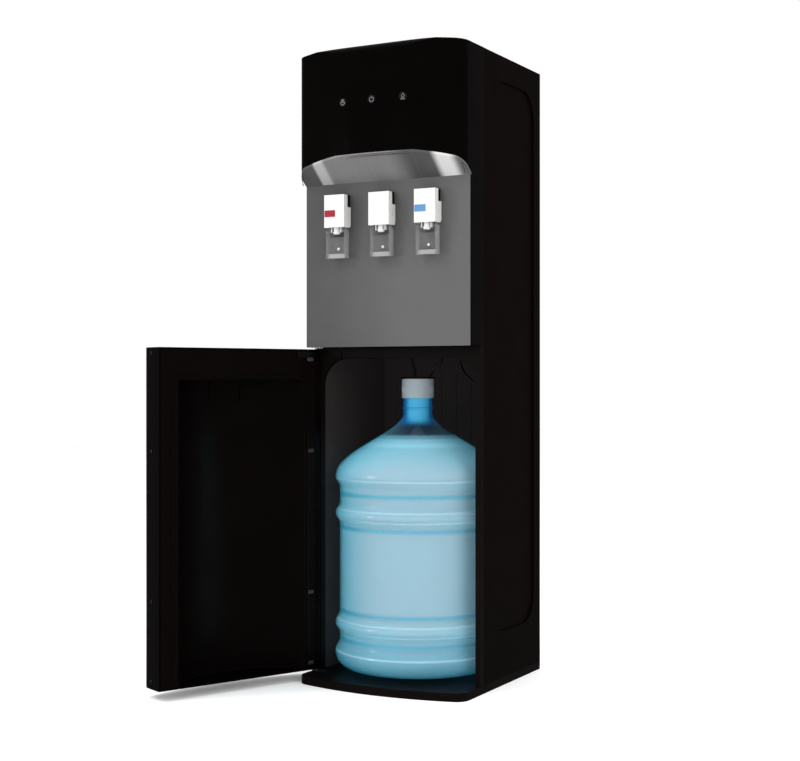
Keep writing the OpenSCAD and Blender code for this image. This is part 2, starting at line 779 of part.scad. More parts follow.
liner_plate = 2.5;
module door_skin() {
    color([0.02, 0.02, 0.02]) swung() difference() {
        translate([0, 0, door_z0]) linear_extrude(door_z1 - door_z0) door_plan();
        translate([0, 0, door_z0 + skin_t]) linear_extrude(door_z1 - door_z0 - 2 * skin_t) {
            front_plan(skin_t, hinge_y - barrel_r);
            translate([hinge_x + barrel_r + 1, hinge_y - barrel_r - over])
                square([side_half - skin_t - hinge_x - barrel_r - 1, 2 * barrel_r + 2 * over]);
        }
        bush_holes(barrel_r - 2);
    }
}

// The inner liner: a rear plate and the deep recess that wraps the bottle.
module door_liner() {
    x0 = hinge_x + barrel_r + 1.2;
    x1 = side_half - skin_t - 0.2;
    z0 = door_z0 + skin_t;
    z1 = door_z1 - skin_t;
    color([0.04, 0.04, 0.04]) swung() difference() {
        union() {
            block([x0, y_door - liner_plate, z0], [x1, y_door, z1]);
            translate([0, 0, z0]) linear_extrude(recess_top + liner_plate - z0) intersection() {
                recess_plan(recess_r + liner_plate);
                translate([-side_half, y_front]) square([body_w, y_door - y_front]);
            }
        }
        translate([0, 0, z0 - over]) linear_extrude(recess_top - z0 + over) intersection() {
            recess_plan(recess_r);
            translate([-side_half, y_front]) square([body_w, y_door - y_front + 20]);
        }
        block([catch_x - catch_half - 1, y_door - 1.2, header_z + 1],
              [catch_x + catch_half + 1, y_door + over, header_z + 13]);
    }
}

module door_bushes() {
    color([0.85, 0.85, 0.83]) swung() for (z = [door_z0, door_z1 - pin_l]) difference() {
        rod_z([hinge_x, hinge_y, z], pin_l, barrel_r - 2);
        rod_z([hinge_x, hinge_y, z - over], pin_l + 2 * over, hinge_r + pin_gap);
    }
}

screw_back = 26;
fixing_z = [29, 156, 396, 553];
module door_screws() {
    color("silver") swung() for (z = fixing_z)
        rod_x([side_half, y_door - screw_back, z], 1, 3.5);
}
clip_z = [30, 150, 390, 545];
module door_clips() {
    clip_x = hinge_x + barrel_r + 5;
    color([0.09, 0.09, 0.09]) swung() for (z = clip_z)
        block([clip_x, y_door, z - 3], [clip_x + 12, y_door + 2, z + 3]);
}
module door_strike() {
    color("silver") swung()
        block([catch_x - catch_half, y_door - 1.2, header_z + 2],
              [catch_x + catch_half, y_door, header_z + 12]);
}

// ---------------------------------------------------------------- bottle

ring_half = 18;
ring_z = [98, 284];
waist_z = 68;
wall_z0 = bottle_z + bottle_foot;
// How far the wall stands in from the rings at a height.
function bump(t) = abs(t) < 1 ? (1 + cos(180 * t)) / 2 : 0;
function rings(z) = max([for (c = ring_z) bump((z - c) / ring_half)]);
function swell(z) = max(rings(z), bump((z - wall_z0) / (waist_z - wall_z0)), bump((z - shoulder_foot) / 20));
// The bottle's outline from its foot to its neck, drawn smaller by inset.
function bottle_outline(inset) = concat(
    [[0, bottle_z + inset]],
    [for (a = [0 : 15 : 75]) [bottle_r - bottle_foot + (bottle_foot - inset) * sin(a),
                              wall_z0 - (bottle_foot - inset) * cos(a)]],
    [for (z = [wall_z0 : 3 : shoulder_foot - 1]) [bottle_r - inset - ring_d * (1 - swell(z)), z]],
    bezier([bottle_r - inset, shoulder_foot], [bottle_r - inset, shoulder_foot + 41],
           [neck_r + 11 - inset, shoulder_z - 33], [neck_r - inset, shoulder_z], 12));
neck_top = cap_top - cap_h;

module bottle_shell() {
    color([0.55, 0.78, 0.9, 0.4]) translate([0, bottle_y, 0]) rotate_extrude() difference() {
        polygon(concat(bottle_outline(0), [[neck_r, neck_top], [0, neck_top]]));
        polygon(concat(bottle_outline(bottle_t),
                       [[neck_r - bottle_t, neck_top + over], [0, neck_top + over]]));
    }
}
water_top = 415;
module bottle_water() {
    gap = bottle_t + 0.1;
    color([0.4, 0.75, 0.88, 0.7]) translate([0, bottle_y, 0]) difference() {
        intersection() {
            rotate_extrude() polygon(concat(bottle_outline(gap), [[0, shoulder_z]]));
            rod_z([0, 0, 0], water_top, bottle_r + over);
        }
        rod_z([0, 0, tube_z0 - 2], water_top, tube_r + 0.3);
    }
}
module bottle_cap() {
    color([0.85, 0.87, 0.88]) translate([0, bottle_y, 0]) difference() {
        union() {
            rod_z([0, 0, neck_top], cap_h - flange_t, cap_r);
            rod_z([0, 0, cap_top - flange_t], flange_t, cap_r + 1.5);
        }
        rod_z([0, 0, neck_top - over], cap_h - 4, tube_r);
    }
}
tube_r = 6;
tube_z0 = bottle_z + 12;
module suction_tube() {
    color([0.8, 0.82, 0.84]) translate([0, bottle_y, 0]) difference() {
        rod_z([0, 0, tube_z0], cap_top - 5 - tube_z0, tube_r);
        rod_z([0, 0, tube_z0 - over], cap_top - 10 - tube_z0, tube_r - 2);
    }
}

// ---------------------------------------------------------------- supply hoses in the bay

hose_r = 3;
hose_tops = [[-10, bottle_y - 4], [44, bottle_y + 4], [78, bottle_y + 2]];
hose_ends = [[-4, bottle_y - 4, cap_top + 0.8], [22, bottle_y + 4, cap_top + 0.8],
             [bay_half + 0.9, bottle_y + 2, 497]];
hose_pulls = [[-4, bottle_y - 4, cap_top + 18], [22, bottle_y + 4, cap_top + 18],
              [bay_half - 39, bottle_y + 2, 497]];
hose_drops = [23, 23, 40];
module supply_hoses() {
    color([0.06, 0.06, 0.06]) for (i = [0 : 2]) {
        top = [hose_tops[i][0], hose_tops[i][1], fascia_z + 8];
        gate = [hose_tops[i][0], hose_tops[i][1], ceiling_z - 6];
        drop = [hose_tops[i][0], hose_tops[i][1], ceiling_z - hose_drops[i]];
        hose(concat([top], bezier(gate, drop, hose_pulls[i], hose_ends[i], 10)), hose_r, [0, 1, 0]);
    }
}
module hose_gland() {
    color([0.1, 0.1, 0.1]) for (hole = hose_tops) difference() {
        rod_z([hole[0], hole[1], ceiling_z - 4], 4, hose_r + 4);
        rod_z([hole[0], hole[1], ceiling_z - 4 - over], 4 + 2 * over, hose_r + 0.2);
    }
}

base_pan();
side_panel_left();
side_panel_right();
back_panel();
back_screws();
top_cover();
front_fascia();
hood_strip();
tap_panel();
front_frame();
bay_liner();
bottle_stop();
bottle_seat();
equipment_shelf();
hinge_pins();
magnet_catch();
indicator_lenses();
control_board();
tap_body_hot();
tap_body_room();
tap_body_cold();
tap_spouts();
tap_brackets();
tap_pins();
hot_badge();
cold_badge();
paddle_hot();
paddle_room();
paddle_cold();
tap_hoses();
cold_tank();
cold_tank_jacket();
evaporator_coil();
hot_tank();
heater_band();
tank_deck();
compressor();
compressor_grommets();
water_pump();
filter_drier();
condenser();
switch_bezel();
heater_switch();
cooler_switch();
power_gland();
drain_tube();
drain_cap();
door_skin();
door_liner();
door_bushes();
door_screws();
door_clips();
door_strike();
bottle_shell();
bottle_water();
bottle_cap();
suction_tube();
supply_hoses();
hose_gland();
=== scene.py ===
"""Looks of a floor-standing bottom-load water dispenser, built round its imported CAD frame.

Everything is in metres in the CAD model's frame: +Z is up, the front faces -Y, the ground is z = 0 and the
origin is under the middle of the cabinet. The door is drawn closed and then turned open about its hinge.
"""

import json
import logging
import math
from dataclasses import dataclass
from enum import Enum
from functools import reduce
from typing import Callable, Iterable, Sequence, Union

import bmesh
import bpy
import numpy as np
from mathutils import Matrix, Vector


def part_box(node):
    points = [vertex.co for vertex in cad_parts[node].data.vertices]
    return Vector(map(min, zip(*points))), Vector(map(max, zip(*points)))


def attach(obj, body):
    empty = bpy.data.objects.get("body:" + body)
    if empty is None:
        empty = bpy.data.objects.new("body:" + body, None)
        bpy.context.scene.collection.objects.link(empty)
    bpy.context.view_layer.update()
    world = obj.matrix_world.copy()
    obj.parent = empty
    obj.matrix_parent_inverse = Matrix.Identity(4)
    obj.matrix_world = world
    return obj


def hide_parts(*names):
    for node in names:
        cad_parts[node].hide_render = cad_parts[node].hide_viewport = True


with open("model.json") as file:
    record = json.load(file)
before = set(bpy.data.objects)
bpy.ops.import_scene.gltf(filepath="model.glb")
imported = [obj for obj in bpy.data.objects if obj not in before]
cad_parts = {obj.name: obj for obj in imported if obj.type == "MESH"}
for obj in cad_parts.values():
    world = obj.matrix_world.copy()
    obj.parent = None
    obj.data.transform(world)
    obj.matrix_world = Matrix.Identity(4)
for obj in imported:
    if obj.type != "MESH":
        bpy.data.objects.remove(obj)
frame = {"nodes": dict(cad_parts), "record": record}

LOG = logging.getLogger("dispenser")
MM = 0.001
FACING_FRONT = ((1, 0, 0), (0, 0, 1), (0, -1, 0))
FACING_BACK = ((1, 0, 0), (0, 0, 1), (0, 1, 0))
Colour = tuple[float, float, float]
Value = Union["Sock", float, Colour]


# ---------------------------------------------------------------- shader building

def operation(name: str, swapped: bool = False) -> Callable[["Sock", Value], "Sock"]:
    """An operator that adds one Math node.

    Args:
        name: the node's operation.
        swapped: whether the other value comes first, as in a reflected operator.

    Returns:
        The operator, as a method of Sock.
    """
    def operator(self: "Sock", other: Value) -> "Sock":
        """The node's result."""
        return self.shader.math(name, *((other, self) if swapped else (self, other)))
    return operator


class Sock:
    """A shader socket that adds, scales and raises like a number."""

    def __init__(self, shader: "Shader", socket: bpy.types.NodeSocket) -> None:
        """Keeps the shader that the socket belongs to, and the socket."""
        self.shader = shader
        self.socket = socket

    def __abs__(self) -> "Sock":
        """This without its sign."""
        return self.shader.math("ABSOLUTE", self)

    __add__ = __radd__ = operation("ADD")
    __sub__ = operation("SUBTRACT")
    __rsub__ = operation("SUBTRACT", swapped=True)
    __mul__ = __rmul__ = operation("MULTIPLY")
    __truediv__ = operation("DIVIDE")
    __pow__ = operation("POWER")

    def clamped(self) -> "Sock":
        """This held between 0 and 1."""
        return self.shader.math("MAXIMUM", self.shader.math("MINIMUM", self, 1.0), 0.0)

    def band(self, low: float, high: float) -> "Sock":
        """A smooth rise from 0 at low to 1 at high.

        Args:
            low: value at which the rise starts.
            high: value at which it ends, which may be the smaller one.

        Returns:
            The rise, as 3t^2 - 2t^3 of the clamped share t.
        """
        share = ((self - low) / (high - low)).clamped()
        return share * share * (3.0 - 2.0 * share)


def shaded(tint: Colour, share: float, lift: float = 0.0) -> Colour:
    """A tint times a share and lifted, held to 1."""
    return tuple(min(1.0, part * share + lift) for part in tint)


class Shader:
    """A Principled material being put together from procedural nodes."""

    def __init__(self, name: str, tint: Colour, rough: float, metal: float = 0.0, level: float = 0.5,
                 coat: float = 0.0, glow: float = 0.0) -> None:
        """Starts a material with its constant settings.

        Args:
            name: the material's name.
            tint: base colour, linear.
            rough: roughness.
            metal: metallic share.
            level: specular level.
            coat: weight of the clear coat.
            glow: strength of the emission.
        """
        self.material = bpy.data.materials.new(name)
        self.material.use_nodes = True
        self.material.diffuse_color = (*tint, 1.0)
        self.tree = self.material.node_tree
        self.tree.nodes.clear()
        self.bsdf = self.tree.nodes.new("ShaderNodeBsdfPrincipled")
        end = self.tree.nodes.new("ShaderNodeOutputMaterial")
        self.tree.links.new(self.bsdf.outputs["BSDF"], end.inputs["Surface"])
        constants = {"Base Color": (*tint, 1.0), "Roughness": rough, "Metallic": metal,
                     "Specular IOR Level": level, "Coat Weight": coat, "Coat Roughness": 0.08,
                     "Emission Strength": glow, "Emission Color": (*tint, 1.0)}
        for key, value in constants.items():
            self.bsdf.inputs[key].default_value = value

    def node(self, kind: str, settings: dict, values: dict, output: Union[int, str] = 0) -> Sock:
        """Adds one node of any type.

        Args:
            kind: the node's type name without its "ShaderNode" start.
            settings: attributes set on the node.
            values: input index or name, to a socket that is linked or a value that is set.
            output: the output to hand back.

        Returns:
            The chosen output.
        """
        made = self.tree.nodes.new("ShaderNode" + kind)
        for key, value in settings.items():
            setattr(made, key, value)
        for key, value in values.items():
            if isinstance(value, Sock):
                self.tree.links.new(value.socket, made.inputs[key])
            else:
                made.inputs[key].default_value = value
        return Sock(self, made.outputs[output])

    def math(self, operation: str, first: Value, second: Value = 0.0) -> Sock:
        """One Math node of the named operation."""
        return self.node("Math", {"operation": operation}, {0: first, 1: second})

    def place(self, scale: Sequence[float] = (1.0, 1.0, 1.0)) -> Sock:
        """The object's own coordinates, stretched by a scale along each axis."""
        here = self.node("TexCoord", {}, {}, "Object")
        return self.node("Mapping", {}, {"Vector": here, "Scale": tuple(scale)})

    def axis(self, name: str) -> Sock:
        """One of the object's own coordinates, X, Y or Z, in metres."""
        return self.node("SeparateXYZ", {}, {0: self.place()}, name)

    def noise(self, size: float, stretch: Sequence[float] = (1.0, 1.0, 1.0), detail: float = 3.0) -> Sock:
        """Soft cloudy noise from 0 to 1.

        Args:
            size: the size of a cloud in metres.
            stretch: scale along each axis, where a smaller number draws the clouds out.
            detail: how many finer layers it holds.

        Returns:
            The noise.
        """
        return self.node("TexNoise", {}, {"Vector": self.place(stretch), "Scale": 1.0 / size,
                                          "Detail": detail, "Roughness": 0.55}, "Fac")

    def cells(self, size: float, feature: str = "F1") -> Sock:
        """The distance inside a pattern of cells of a size in metres."""
        return self.node("TexVoronoi", {"feature": feature},
                         {"Vector": self.place(), "Scale": 1.0 / size}, "Distance")

    def blend(self, share: Value, first: Value, second: Value) -> Sock:
        """A colour mixed from the first at share 0 to the second at share 1."""
        made = self.tree.nodes.new("ShaderNodeMix")
        made.data_type = "RGBA"
        slots = {each.identifier: each for each in made.inputs}
        for key, value in (("Factor_Float", share), ("A_Color", first), ("B_Color", second)):
            if isinstance(value, Sock):
                self.tree.links.new(value.socket, slots[key])
            else:
                slots[key].default_value = (*value, 1.0) if isinstance(value, tuple) else value
        ends = {each.identifier: each for each in made.outputs}
        return Sock(self, ends["Result_Color"])

    def stripes(self, name: str, places: Sequence[float], half: float) -> Sock:
        """Soft stripes across one axis: 1 at each place, and 0 past a half width from it, in metres."""
        spot = self.axis(name)
        total = None
        for place in places:
            stripe = abs(spot - place).band(half, 0.0)
            total = stripe if total is None else total + stripe
        return total.clamped()

    def facing(self, bias: float = 0.5) -> Sock:
        """How far the surface turns away from the view, from 0 to 1."""
        return self.node("LayerWeight", {}, {"Blend": bias}, "Facing")

    def relief(self, height: Sock, depth: float) -> None:
        """Raises the surface by a height map, with a depth in metres."""
        bump = self.node("Bump", {}, {"Height": height, "Distance": depth, "Strength": 1.0})
        self.feed("Normal", bump)

    def feed(self, name: str, value: Sock) -> None:
        """Links a socket into one input of the surface."""
        self.tree.links.new(value.socket, self.bsdf.inputs[name])


# ---------------------------------------------------------------- finishes

@dataclass(frozen=True)
class Finish:
    """What every finish has: its name, its slot in the record, its tint and its roughness."""

    name: str
    slot: str
    tint: Colour
    rough: float

    def material(self) -> bpy.types.Material:
        """The finish's material, made once and then shared."""
        known = bpy.data.materials.get(self.name)
        return known if known else self.build().material

    def build(self) -> Shader:
        """Puts the material together."""
        raise NotImplementedError


@dataclass(frozen=True)
class Moulded(Finish):
    """Moulded plastic or a baked coat: a fine grain, with a slow drift in tint and sheen."""

    level: float = 0.3
    grain: float = 0.0009
    depth: float = 0.00002
    drift: float = 0.25
    glow: float = 0.0

    def build(self) -> Shader:
        """Cloudy tint and roughness under a fine grain."""
        shader = Shader(self.name, self.tint, self.rough, level=self.level, glow=self.glow)
        cloud = shader.noise(0.09)
        pale = shaded(self.tint, 1.0 + self.drift, 0.0003)
        deep = shaded(self.tint, 1.0 - self.drift)
        shader.feed("Base Color", shader.blend(cloud, deep, pale))
        shader.feed("Roughness", (shader.noise(0.02) - 0.5) * 0.12 + self.rough)
        shader.relief(shader.noise(self.grain, detail=2.0), self.depth)
        return shader


@dataclass(frozen=True)
class Powder(Finish):
    """Powder coat on sheet steel: an orange-peel skin with the odd paler speck."""

    level: float = 0.3

    def build(self) -> Shader:
        """Orange peel from two sizes of noise, with specks where fine cells meet."""
        shader = Shader(self.name, self.tint, self.rough, level=self.level)
        speck = shader.cells(0.0022).band(0.16, 0.04)
        shader.feed("Base Color", shader.blend(speck * 0.5, self.tint, shaded(self.tint, 1.9, 0.0012)))
        shader.feed("Roughness", shader.noise(0.05) * 0.16 + (self.rough - 0.08))
        shader.relief(shader.noise(0.0016) + shader.noise(0.006) * 0.7, 0.00005)
        return shader


@dataclass(frozen=True)
class Brushed(Finish):
    """Brushed sheet: fine streaks along X, a light blotch, and painted shade that runs darker at the left and
    lighter towards the right.
    """

    metal: float = 0.35
    # left and right: shares of the tint at the shaded left and at the lit right of the painted shading; half:
    # how far that shading runs.
    left: float = 0.72
    right: float = 1.12
    half: float = 0.15

    def build(self) -> Shader:
        """Streaks stretched forty times along X over painted shading that runs from darker at the left to
        lighter at the right.
        """
        shader = Shader(self.name, self.tint, self.rough, metal=self.metal, level=0.4)
        streak = shader.noise(0.0006, (0.025, 1.0, 1.0), 4.0)
        # Painted shade: the panel runs darker at the left and lighter towards the right, as the light falls.
        across = shader.axis("X").band(-self.half, self.half * 0.4)
        shade = (shader.noise(0.07) - 0.5) * 0.7 + (streak - 0.5) * 0.5 + across
        ends = shaded(self.tint, self.left), shaded(self.tint, self.right)
        shader.feed("Base Color", shader.blend(shade.clamped(), *ends))
        shader.feed("Roughness", streak * 0.2 + (self.rough - 0.1))
        shader.relief(streak, 0.00003)
        return shader


@dataclass(frozen=True)
class PolishedHood(Finish):
    """Bright trim with painted reflections: upright bands of light and dark tone painted along X, standing in
    for reflections off the strip.
    """

    # Painted reflections: dark is the tone of the darkest painted reflection and the tint that of the
    # brightest; each band (start x, stop x, step) raises or lowers the tone between two X.
    dark: Colour = (0.028, 0.028, 0.029)
    painted_reflection_bands: tuple = ((-0.124, -0.117, 0.54), (-0.104, -0.095, -0.35), (0.02, 0.066, -0.19),
                    (0.098, 0.113, 0.92), (0.129, 0.146, -0.85))

    def build(self) -> Shader:
        """Each painted reflection band changes the tone between two X by a step, over fine polishing lines.
        """
        shader = Shader(self.name, self.tint, self.rough, metal=0.15, level=0.4)
        across = shader.axis("X")
        line = shader.noise(0.0012, (1.0, 0.015, 0.015), 2.0)
        tone = (line - 0.5) * 0.12 + 0.08
        # Paint the reflection bands into the base colour.
        for start, stop, step in self.painted_reflection_bands:
            tone = tone + across.band(start, stop) * step
        shader.feed("Base Color", shader.blend(tone.clamped(), self.dark, self.tint))
        shader.feed("Roughness", line * 0.1 + self.rough)
        shader.relief(line, 0.000004)
        return shader


@dataclass(frozen=True)
class Plated(Finish):
    """Bright or dull metal with faint spangles and fine scuffs."""

    metal: float = 1.0
    spangle: float = 0.012

    def build(self) -> Shader:
        """Cells of slightly different tone under short scuffs."""
        shader = Shader(self.name, self.tint, self.rough, metal=self.metal)
        cell = shader.cells(self.spangle)
        tone = (cell * 0.8 + shader.noise(0.03) * 0.4).clamped()
        shader.feed("Base Color", shader.blend(tone, shaded(self.tint, 0.72), self.tint))
        shader.feed("Roughness", shader.noise(0.008, (0.2, 1.0, 1.0)) * 0.18 + (self.rough - 0.06))
        shader.relief(shader.noise(0.002), 0.00002)
        return shader


@dataclass(frozen=True)
class Tarnished(Finish):
    """Bare copper: warm patches and darker tarnish."""

    def build(self) -> Shader:
        """Tarnish where two sizes of cloud agree."""
        shader = Shader(self.name, self.tint, self.rough, metal=1.0)
        patch = (shader.noise(0.012) * shader.noise(0.05)).band(0.2, 0.36)
        shader.feed("Base Color", shader.blend(patch, (0.22, 0.09, 0.04), self.tint))
        shader.feed("Roughness", 0.62 - patch * 0.3)
        shader.relief(shader.noise(0.002), 0.00003)
        return shader


@dataclass(frozen=True)
class Foam(Finish):
    """Sprayed foam: round blisters with darker pits."""

    def build(self) -> Shader:
        """Blisters from smooth cells."""
        shader = Shader(self.name, self.tint, self.rough, level=0.15)
        cell = shader.cells(0.012, "SMOOTH_F1")
        shader.feed("Base Color", shader.blend(cell.band(0.2, 0.75), self.tint, (0.45, 0.36, 0.2)))
        shader.feed("Roughness", cell * 0.2 + self.rough)
        shader.relief(1.0 - cell, 0.0012)
        return shader


@dataclass(frozen=True)
class ClearMoulding(Finish):
    """Clear plastic that thickens where it turns away, with a painted highlight that brightens that rim and a
    faint glow of painted light.
    """

    low: float = 0.25
    high: float = 0.9
    # glow: emission strength, painted light on a part that is no lamp.
    glow: float = 0.05

    def build(self) -> Shader:
        """Alpha rises as the surface turns away from the view, and the tone brightens there as a painted rim
        highlight; the emission is painted light.
        """
        shader = Shader(self.name, self.tint, self.rough, level=0.6, glow=self.glow)
        turn = shader.facing(0.45)
        cloud = (shader.noise(0.01) - 0.5) * 0.2
        # Painted highlight: the colour brightens towards the rim where the surface turns away.
        bright = shaded(self.tint, 1.5, 0.1)
        shader.feed("Base Color", shader.blend((turn + cloud).clamped(), self.tint, bright))
        shader.feed("Alpha", (turn * (self.high - self.low) + self.low + cloud * 0.4).clamped())
        shader.feed("Roughness", shader.noise(0.006) * 0.08 + self.rough)
        shader.relief(shader.noise(0.004), 0.00004)
        return shader


@dataclass(frozen=True)
class BottleSkin(Finish):
    """The bottle's tinted wall: nearly clear face on, deep blue where it turns away and in its neck, with
    painted highlights on the ring crests, painted shade in the hollows and above the water, and a glow of
    painted light.
    """

    edge: Colour = (0.045, 0.34, 0.48)
    neck: Colour = (0.05, 0.33, 0.56)
    neck_side: Colour = (0.006, 0.11, 0.30)
    # empty: near black navy, painted shade on the wall above the water.
    empty: Colour = (0.0015, 0.006, 0.022)
    # crests: heights of the ring crests, where pale lines of painted highlight run.
    crests: tuple[float, ...] = (0.053, 0.090, 0.106, 0.276, 0.292, 0.343)
    # hollows: heights of the ring hollows, where the tint deepens as painted shade.
    hollows: tuple[float, ...] = (0.074, 0.121, 0.262, 0.318)
    brim_z: float = 0.415
    neck_z: float = 0.440

    def build(self) -> Shader:
        """Tint and alpha rise with the turn of the wall, in its hollows as painted shade, and in the neck;
        pale painted highlights run along the crests, painted shade darkens the wall above the water, and the
        wall glows as painted light.
        """
        # The wall's emission is painted light: it glows in its own tint at strength 0.18.
        shader = Shader(self.name, self.tint, self.rough, level=0.7, coat=0.4, glow=0.18)
        turn = shader.facing(0.5)
        up = shader.axis("Z")
        foot = up.band(0.070, 0.022)
        hollow_shade = shader.stripes("Z", self.hollows, 0.006)
        crest_highlight = shader.stripes("Z", self.crests, 0.003)
        neck = up.band(self.neck_z - 0.012, self.neck_z + 0.004)
        # The tint deepens where the wall turns away, towards the foot, and in the ring hollows, where it is
        # painted shade.
        share = (turn ** 2.0 + foot * 0.5 + hollow_shade * 0.8).clamped()
        shade = shader.blend(share, self.tint, self.edge)
        # Painted highlight: pale lines along the crests of the rings.
        shade = shader.blend(crest_highlight * 0.3, shade, (0.62, 0.82, 0.88))
        # Painted shade: above the water the wall goes near black navy, except where it turns far away.
        empty = up.band(self.brim_z - 0.001, self.brim_z + 0.004)
        shade = shader.blend(empty * (1.0 - turn ** 3.0), shade, self.empty)
        shade = shader.blend(neck, shade, shader.blend(turn.band(0.12, 0.5), self.neck, self.neck_side))
        shader.feed("Base Color", shade)
        # The painted glow is switched off on the wall between the water and the neck.
        shader.feed("Emission Color", shader.blend(empty * (1.0 - neck), shade, (0.0, 0.0, 0.0)))
        wall = turn ** 2.6 * 0.6 + foot * 0.35 + hollow_shade * 0.4 + crest_highlight * 0.25 + 0.12
        shader.feed("Alpha", (wall + empty * 0.6 + neck * 0.4).clamped())
        shader.feed("Roughness", shader.noise(0.03) * 0.08 + self.rough)
        shader.relief(shader.noise(0.02), 0.0002)
        return shader


@dataclass(frozen=True)
class WaterFill(Finish):
    """The water in the bottle: pale through the middle, cyan to the sides, with painted shade at the foot and
    just under the brim, a painted highlight band below the brim, and a glow of painted light.
    """

    side: Colour = (0.110, 0.50, 0.64)
    # deep: the colour of the painted shade at the foot and just under the brim.
    deep: Colour = (0.020, 0.17, 0.26)
    low_z: float = 0.036
    brim_z: float = 0.415

    def build(self) -> Shader:
        """Tone by height and by the turn of the surface, under slow upright painted bands of light, with
        painted shade at the foot and at the brim, a painted highlight band, and a glow of painted light.
        """
        # The water's emission is painted light: it glows in its own tone at strength 0.28.
        shader = Shader(self.name, self.tint, self.rough, level=0.4, glow=0.28)
        up = shader.axis("Z")
        # Painted light: slow upright bands that shift the water's tone.
        sway = (shader.noise(0.07, (1.0, 1.0, 0.2)) - 0.5) * 0.55
        share = (shader.facing(0.5) ** 1.4 * 1.5 - 0.12 + sway * 0.6 + up.band(0.14, 0.05) * 0.35).clamped()
        shade = shader.blend(share, self.tint, self.side)
        # Painted shade: the water darkens towards its foot and in a thin band just under the brim.
        foot_shade = up.band(self.low_z + 0.07, self.low_z - 0.01) * 0.75
        brim = up.band(self.brim_z - 0.006, self.brim_z - 0.0025)
        shade = shader.blend((foot_shade + brim).clamped(), shade, self.deep)
        # Painted highlight: a pale cyan band a little below the brim.
        pale = shader.stripes("Z", (self.brim_z - 0.014,), 0.007) * 0.6
        shade = shader.blend(pale, shade, (0.30, 0.62, 0.74))
        shader.feed("Base Color", shade)
        # The painted glow takes the water's tone.
        shader.feed("Emission Color", shade)
        shader.feed("Roughness", shader.noise(0.04) * 0.1 + self.rough)
        shader.relief(shader.noise(0.05), 0.001)
        return shader


class Kind(Enum):
    """The finishes of the dispenser."""

    FASCIA = Moulded("fascia_gloss", "black_gloss", (0.0012, 0.0007, 0.0007), 0.14, level=0.06)
    SATIN = Moulded("frame_satin", "black_satin", (0.0040, 0.0024, 0.0022), 0.42, level=0.10)
    LINER = Moulded("door_liner_satin", "black_satin", (0.0022, 0.0012, 0.0009), 0.30, level=0.08)
    # The bay moulding glows faintly: painted light that lifts the dark bay.
    BAY = Moulded("bay_moulding", "bay_plastic", (0.026, 0.021, 0.021), 0.45, level=0.3, glow=0.15)
    PANEL = Powder("panel_coat", "panel_paint", (0.0030, 0.0012, 0.0009), 0.42, level=0.05)
    TAP_PANEL = Brushed("tap_panel_brushed", "brushed_grey", (0.098, 0.098, 0.098), 0.5, metal=0.2)
    HOOD = PolishedHood("hood_polished", "polished_steel", (0.60, 0.59, 0.59), 0.34)
    TRIM = Plated("rim_bright", "polished_steel", (0.50, 0.50, 0.50), 0.25)
    ZINC = Plated("zinc_sheet", "zinc_steel", (0.52, 0.53, 0.54), 0.42)
    SCREW = Plated("screw_plating", "screw_steel", (0.62, 0.62, 0.64), 0.28, spangle=0.003)
    DULL_SCREW = Plated("screw_blackened", "screw_steel", (0.09, 0.085, 0.085), 0.38, spangle=0.003)
    CLIP = Moulded("clip_charcoal", "black_satin", (0.030, 0.027, 0.027), 0.4, level=0.4)
    TANK = Plated("tank_plain", "tank_steel", (0.6, 0.61, 0.63), 0.35)
    WHITE = Moulded("tap_white", "white_plastic", (0.62, 0.61, 0.595), 0.28, level=0.5, drift=0.015)
    # The clear paddles glow faintly: painted light.
    CLEAR = ClearMoulding("paddle_clear", "clear_plastic", (0.20, 0.20, 0.205), 0.14, low=0.16, glow=0.02)
    FROSTED = Moulded("bar_frosted", "clear_plastic", (0.26, 0.26, 0.265), 0.35, level=0.5, drift=0.15)
    # The cap glows faintly: painted light.
    CAP = Moulded("cap_pale", "white_plastic", (0.31, 0.37, 0.40), 0.3, level=0.5, drift=0.12, glow=0.05)
    RED = Moulded("red_inlay", "red_badge", (0.26, 0.008, 0.024), 0.25, level=0.5, drift=0.1)
    BLUE = Moulded("blue_inlay", "blue_badge", (0.085, 0.22, 0.42), 0.25, level=0.5, drift=0.1)
    LENS = Moulded("lens_smoked", "lens_grey", (0.0060, 0.0052, 0.0052), 0.12, level=0.4)
    # The glyphs glow faintly: painted light.
    GLYPH = Moulded("glyph_grey", "lens_grey", (0.16, 0.16, 0.16), 0.4, level=0.3, drift=0.1, glow=0.05)
    BOARD = Moulded("board_green", "board_green", (0.02, 0.16, 0.05), 0.35, level=0.5, drift=0.4)
    SILICONE = Moulded("hose_milky", "hose_clear", (0.62, 0.66, 0.62), 0.3, level=0.5, drift=0.1)
    PROBE = Moulded("probe_blue", "hose_clear", (0.030, 0.10, 0.19), 0.3, level=0.4, drift=0.15)
    RUBBER = Moulded("hose_black", "hose_dark", (0.008, 0.007, 0.007), 0.32, level=0.4)
    FOAM = Foam("tank_foam", "foam", (0.76, 0.68, 0.45), 0.8)
    COPPER = Tarnished("coil_copper", "copper", (0.72, 0.36, 0.2), 0.3)
    ENAMEL = Powder("compressor_enamel", "pump_black", (0.007, 0.007, 0.007), 0.3, level=0.5)
    RED_KEY = Moulded("rocker_red", "red_rocker", (0.42, 0.014, 0.010), 0.25, level=0.5, drift=0.1)
    GREEN_KEY = Moulded("rocker_green", "green_rocker", (0.012, 0.22, 0.05), 0.25, level=0.5, drift=0.1)
    SKIN = BottleSkin("bottle_wall", "bottle_clear", (0.26, 0.48, 0.58), 0.07)
    WATER = WaterFill("bottle_water_fill", "water", (0.235, 0.345, 0.405), 0.12)


# ---------------------------------------------------------------- surfaces

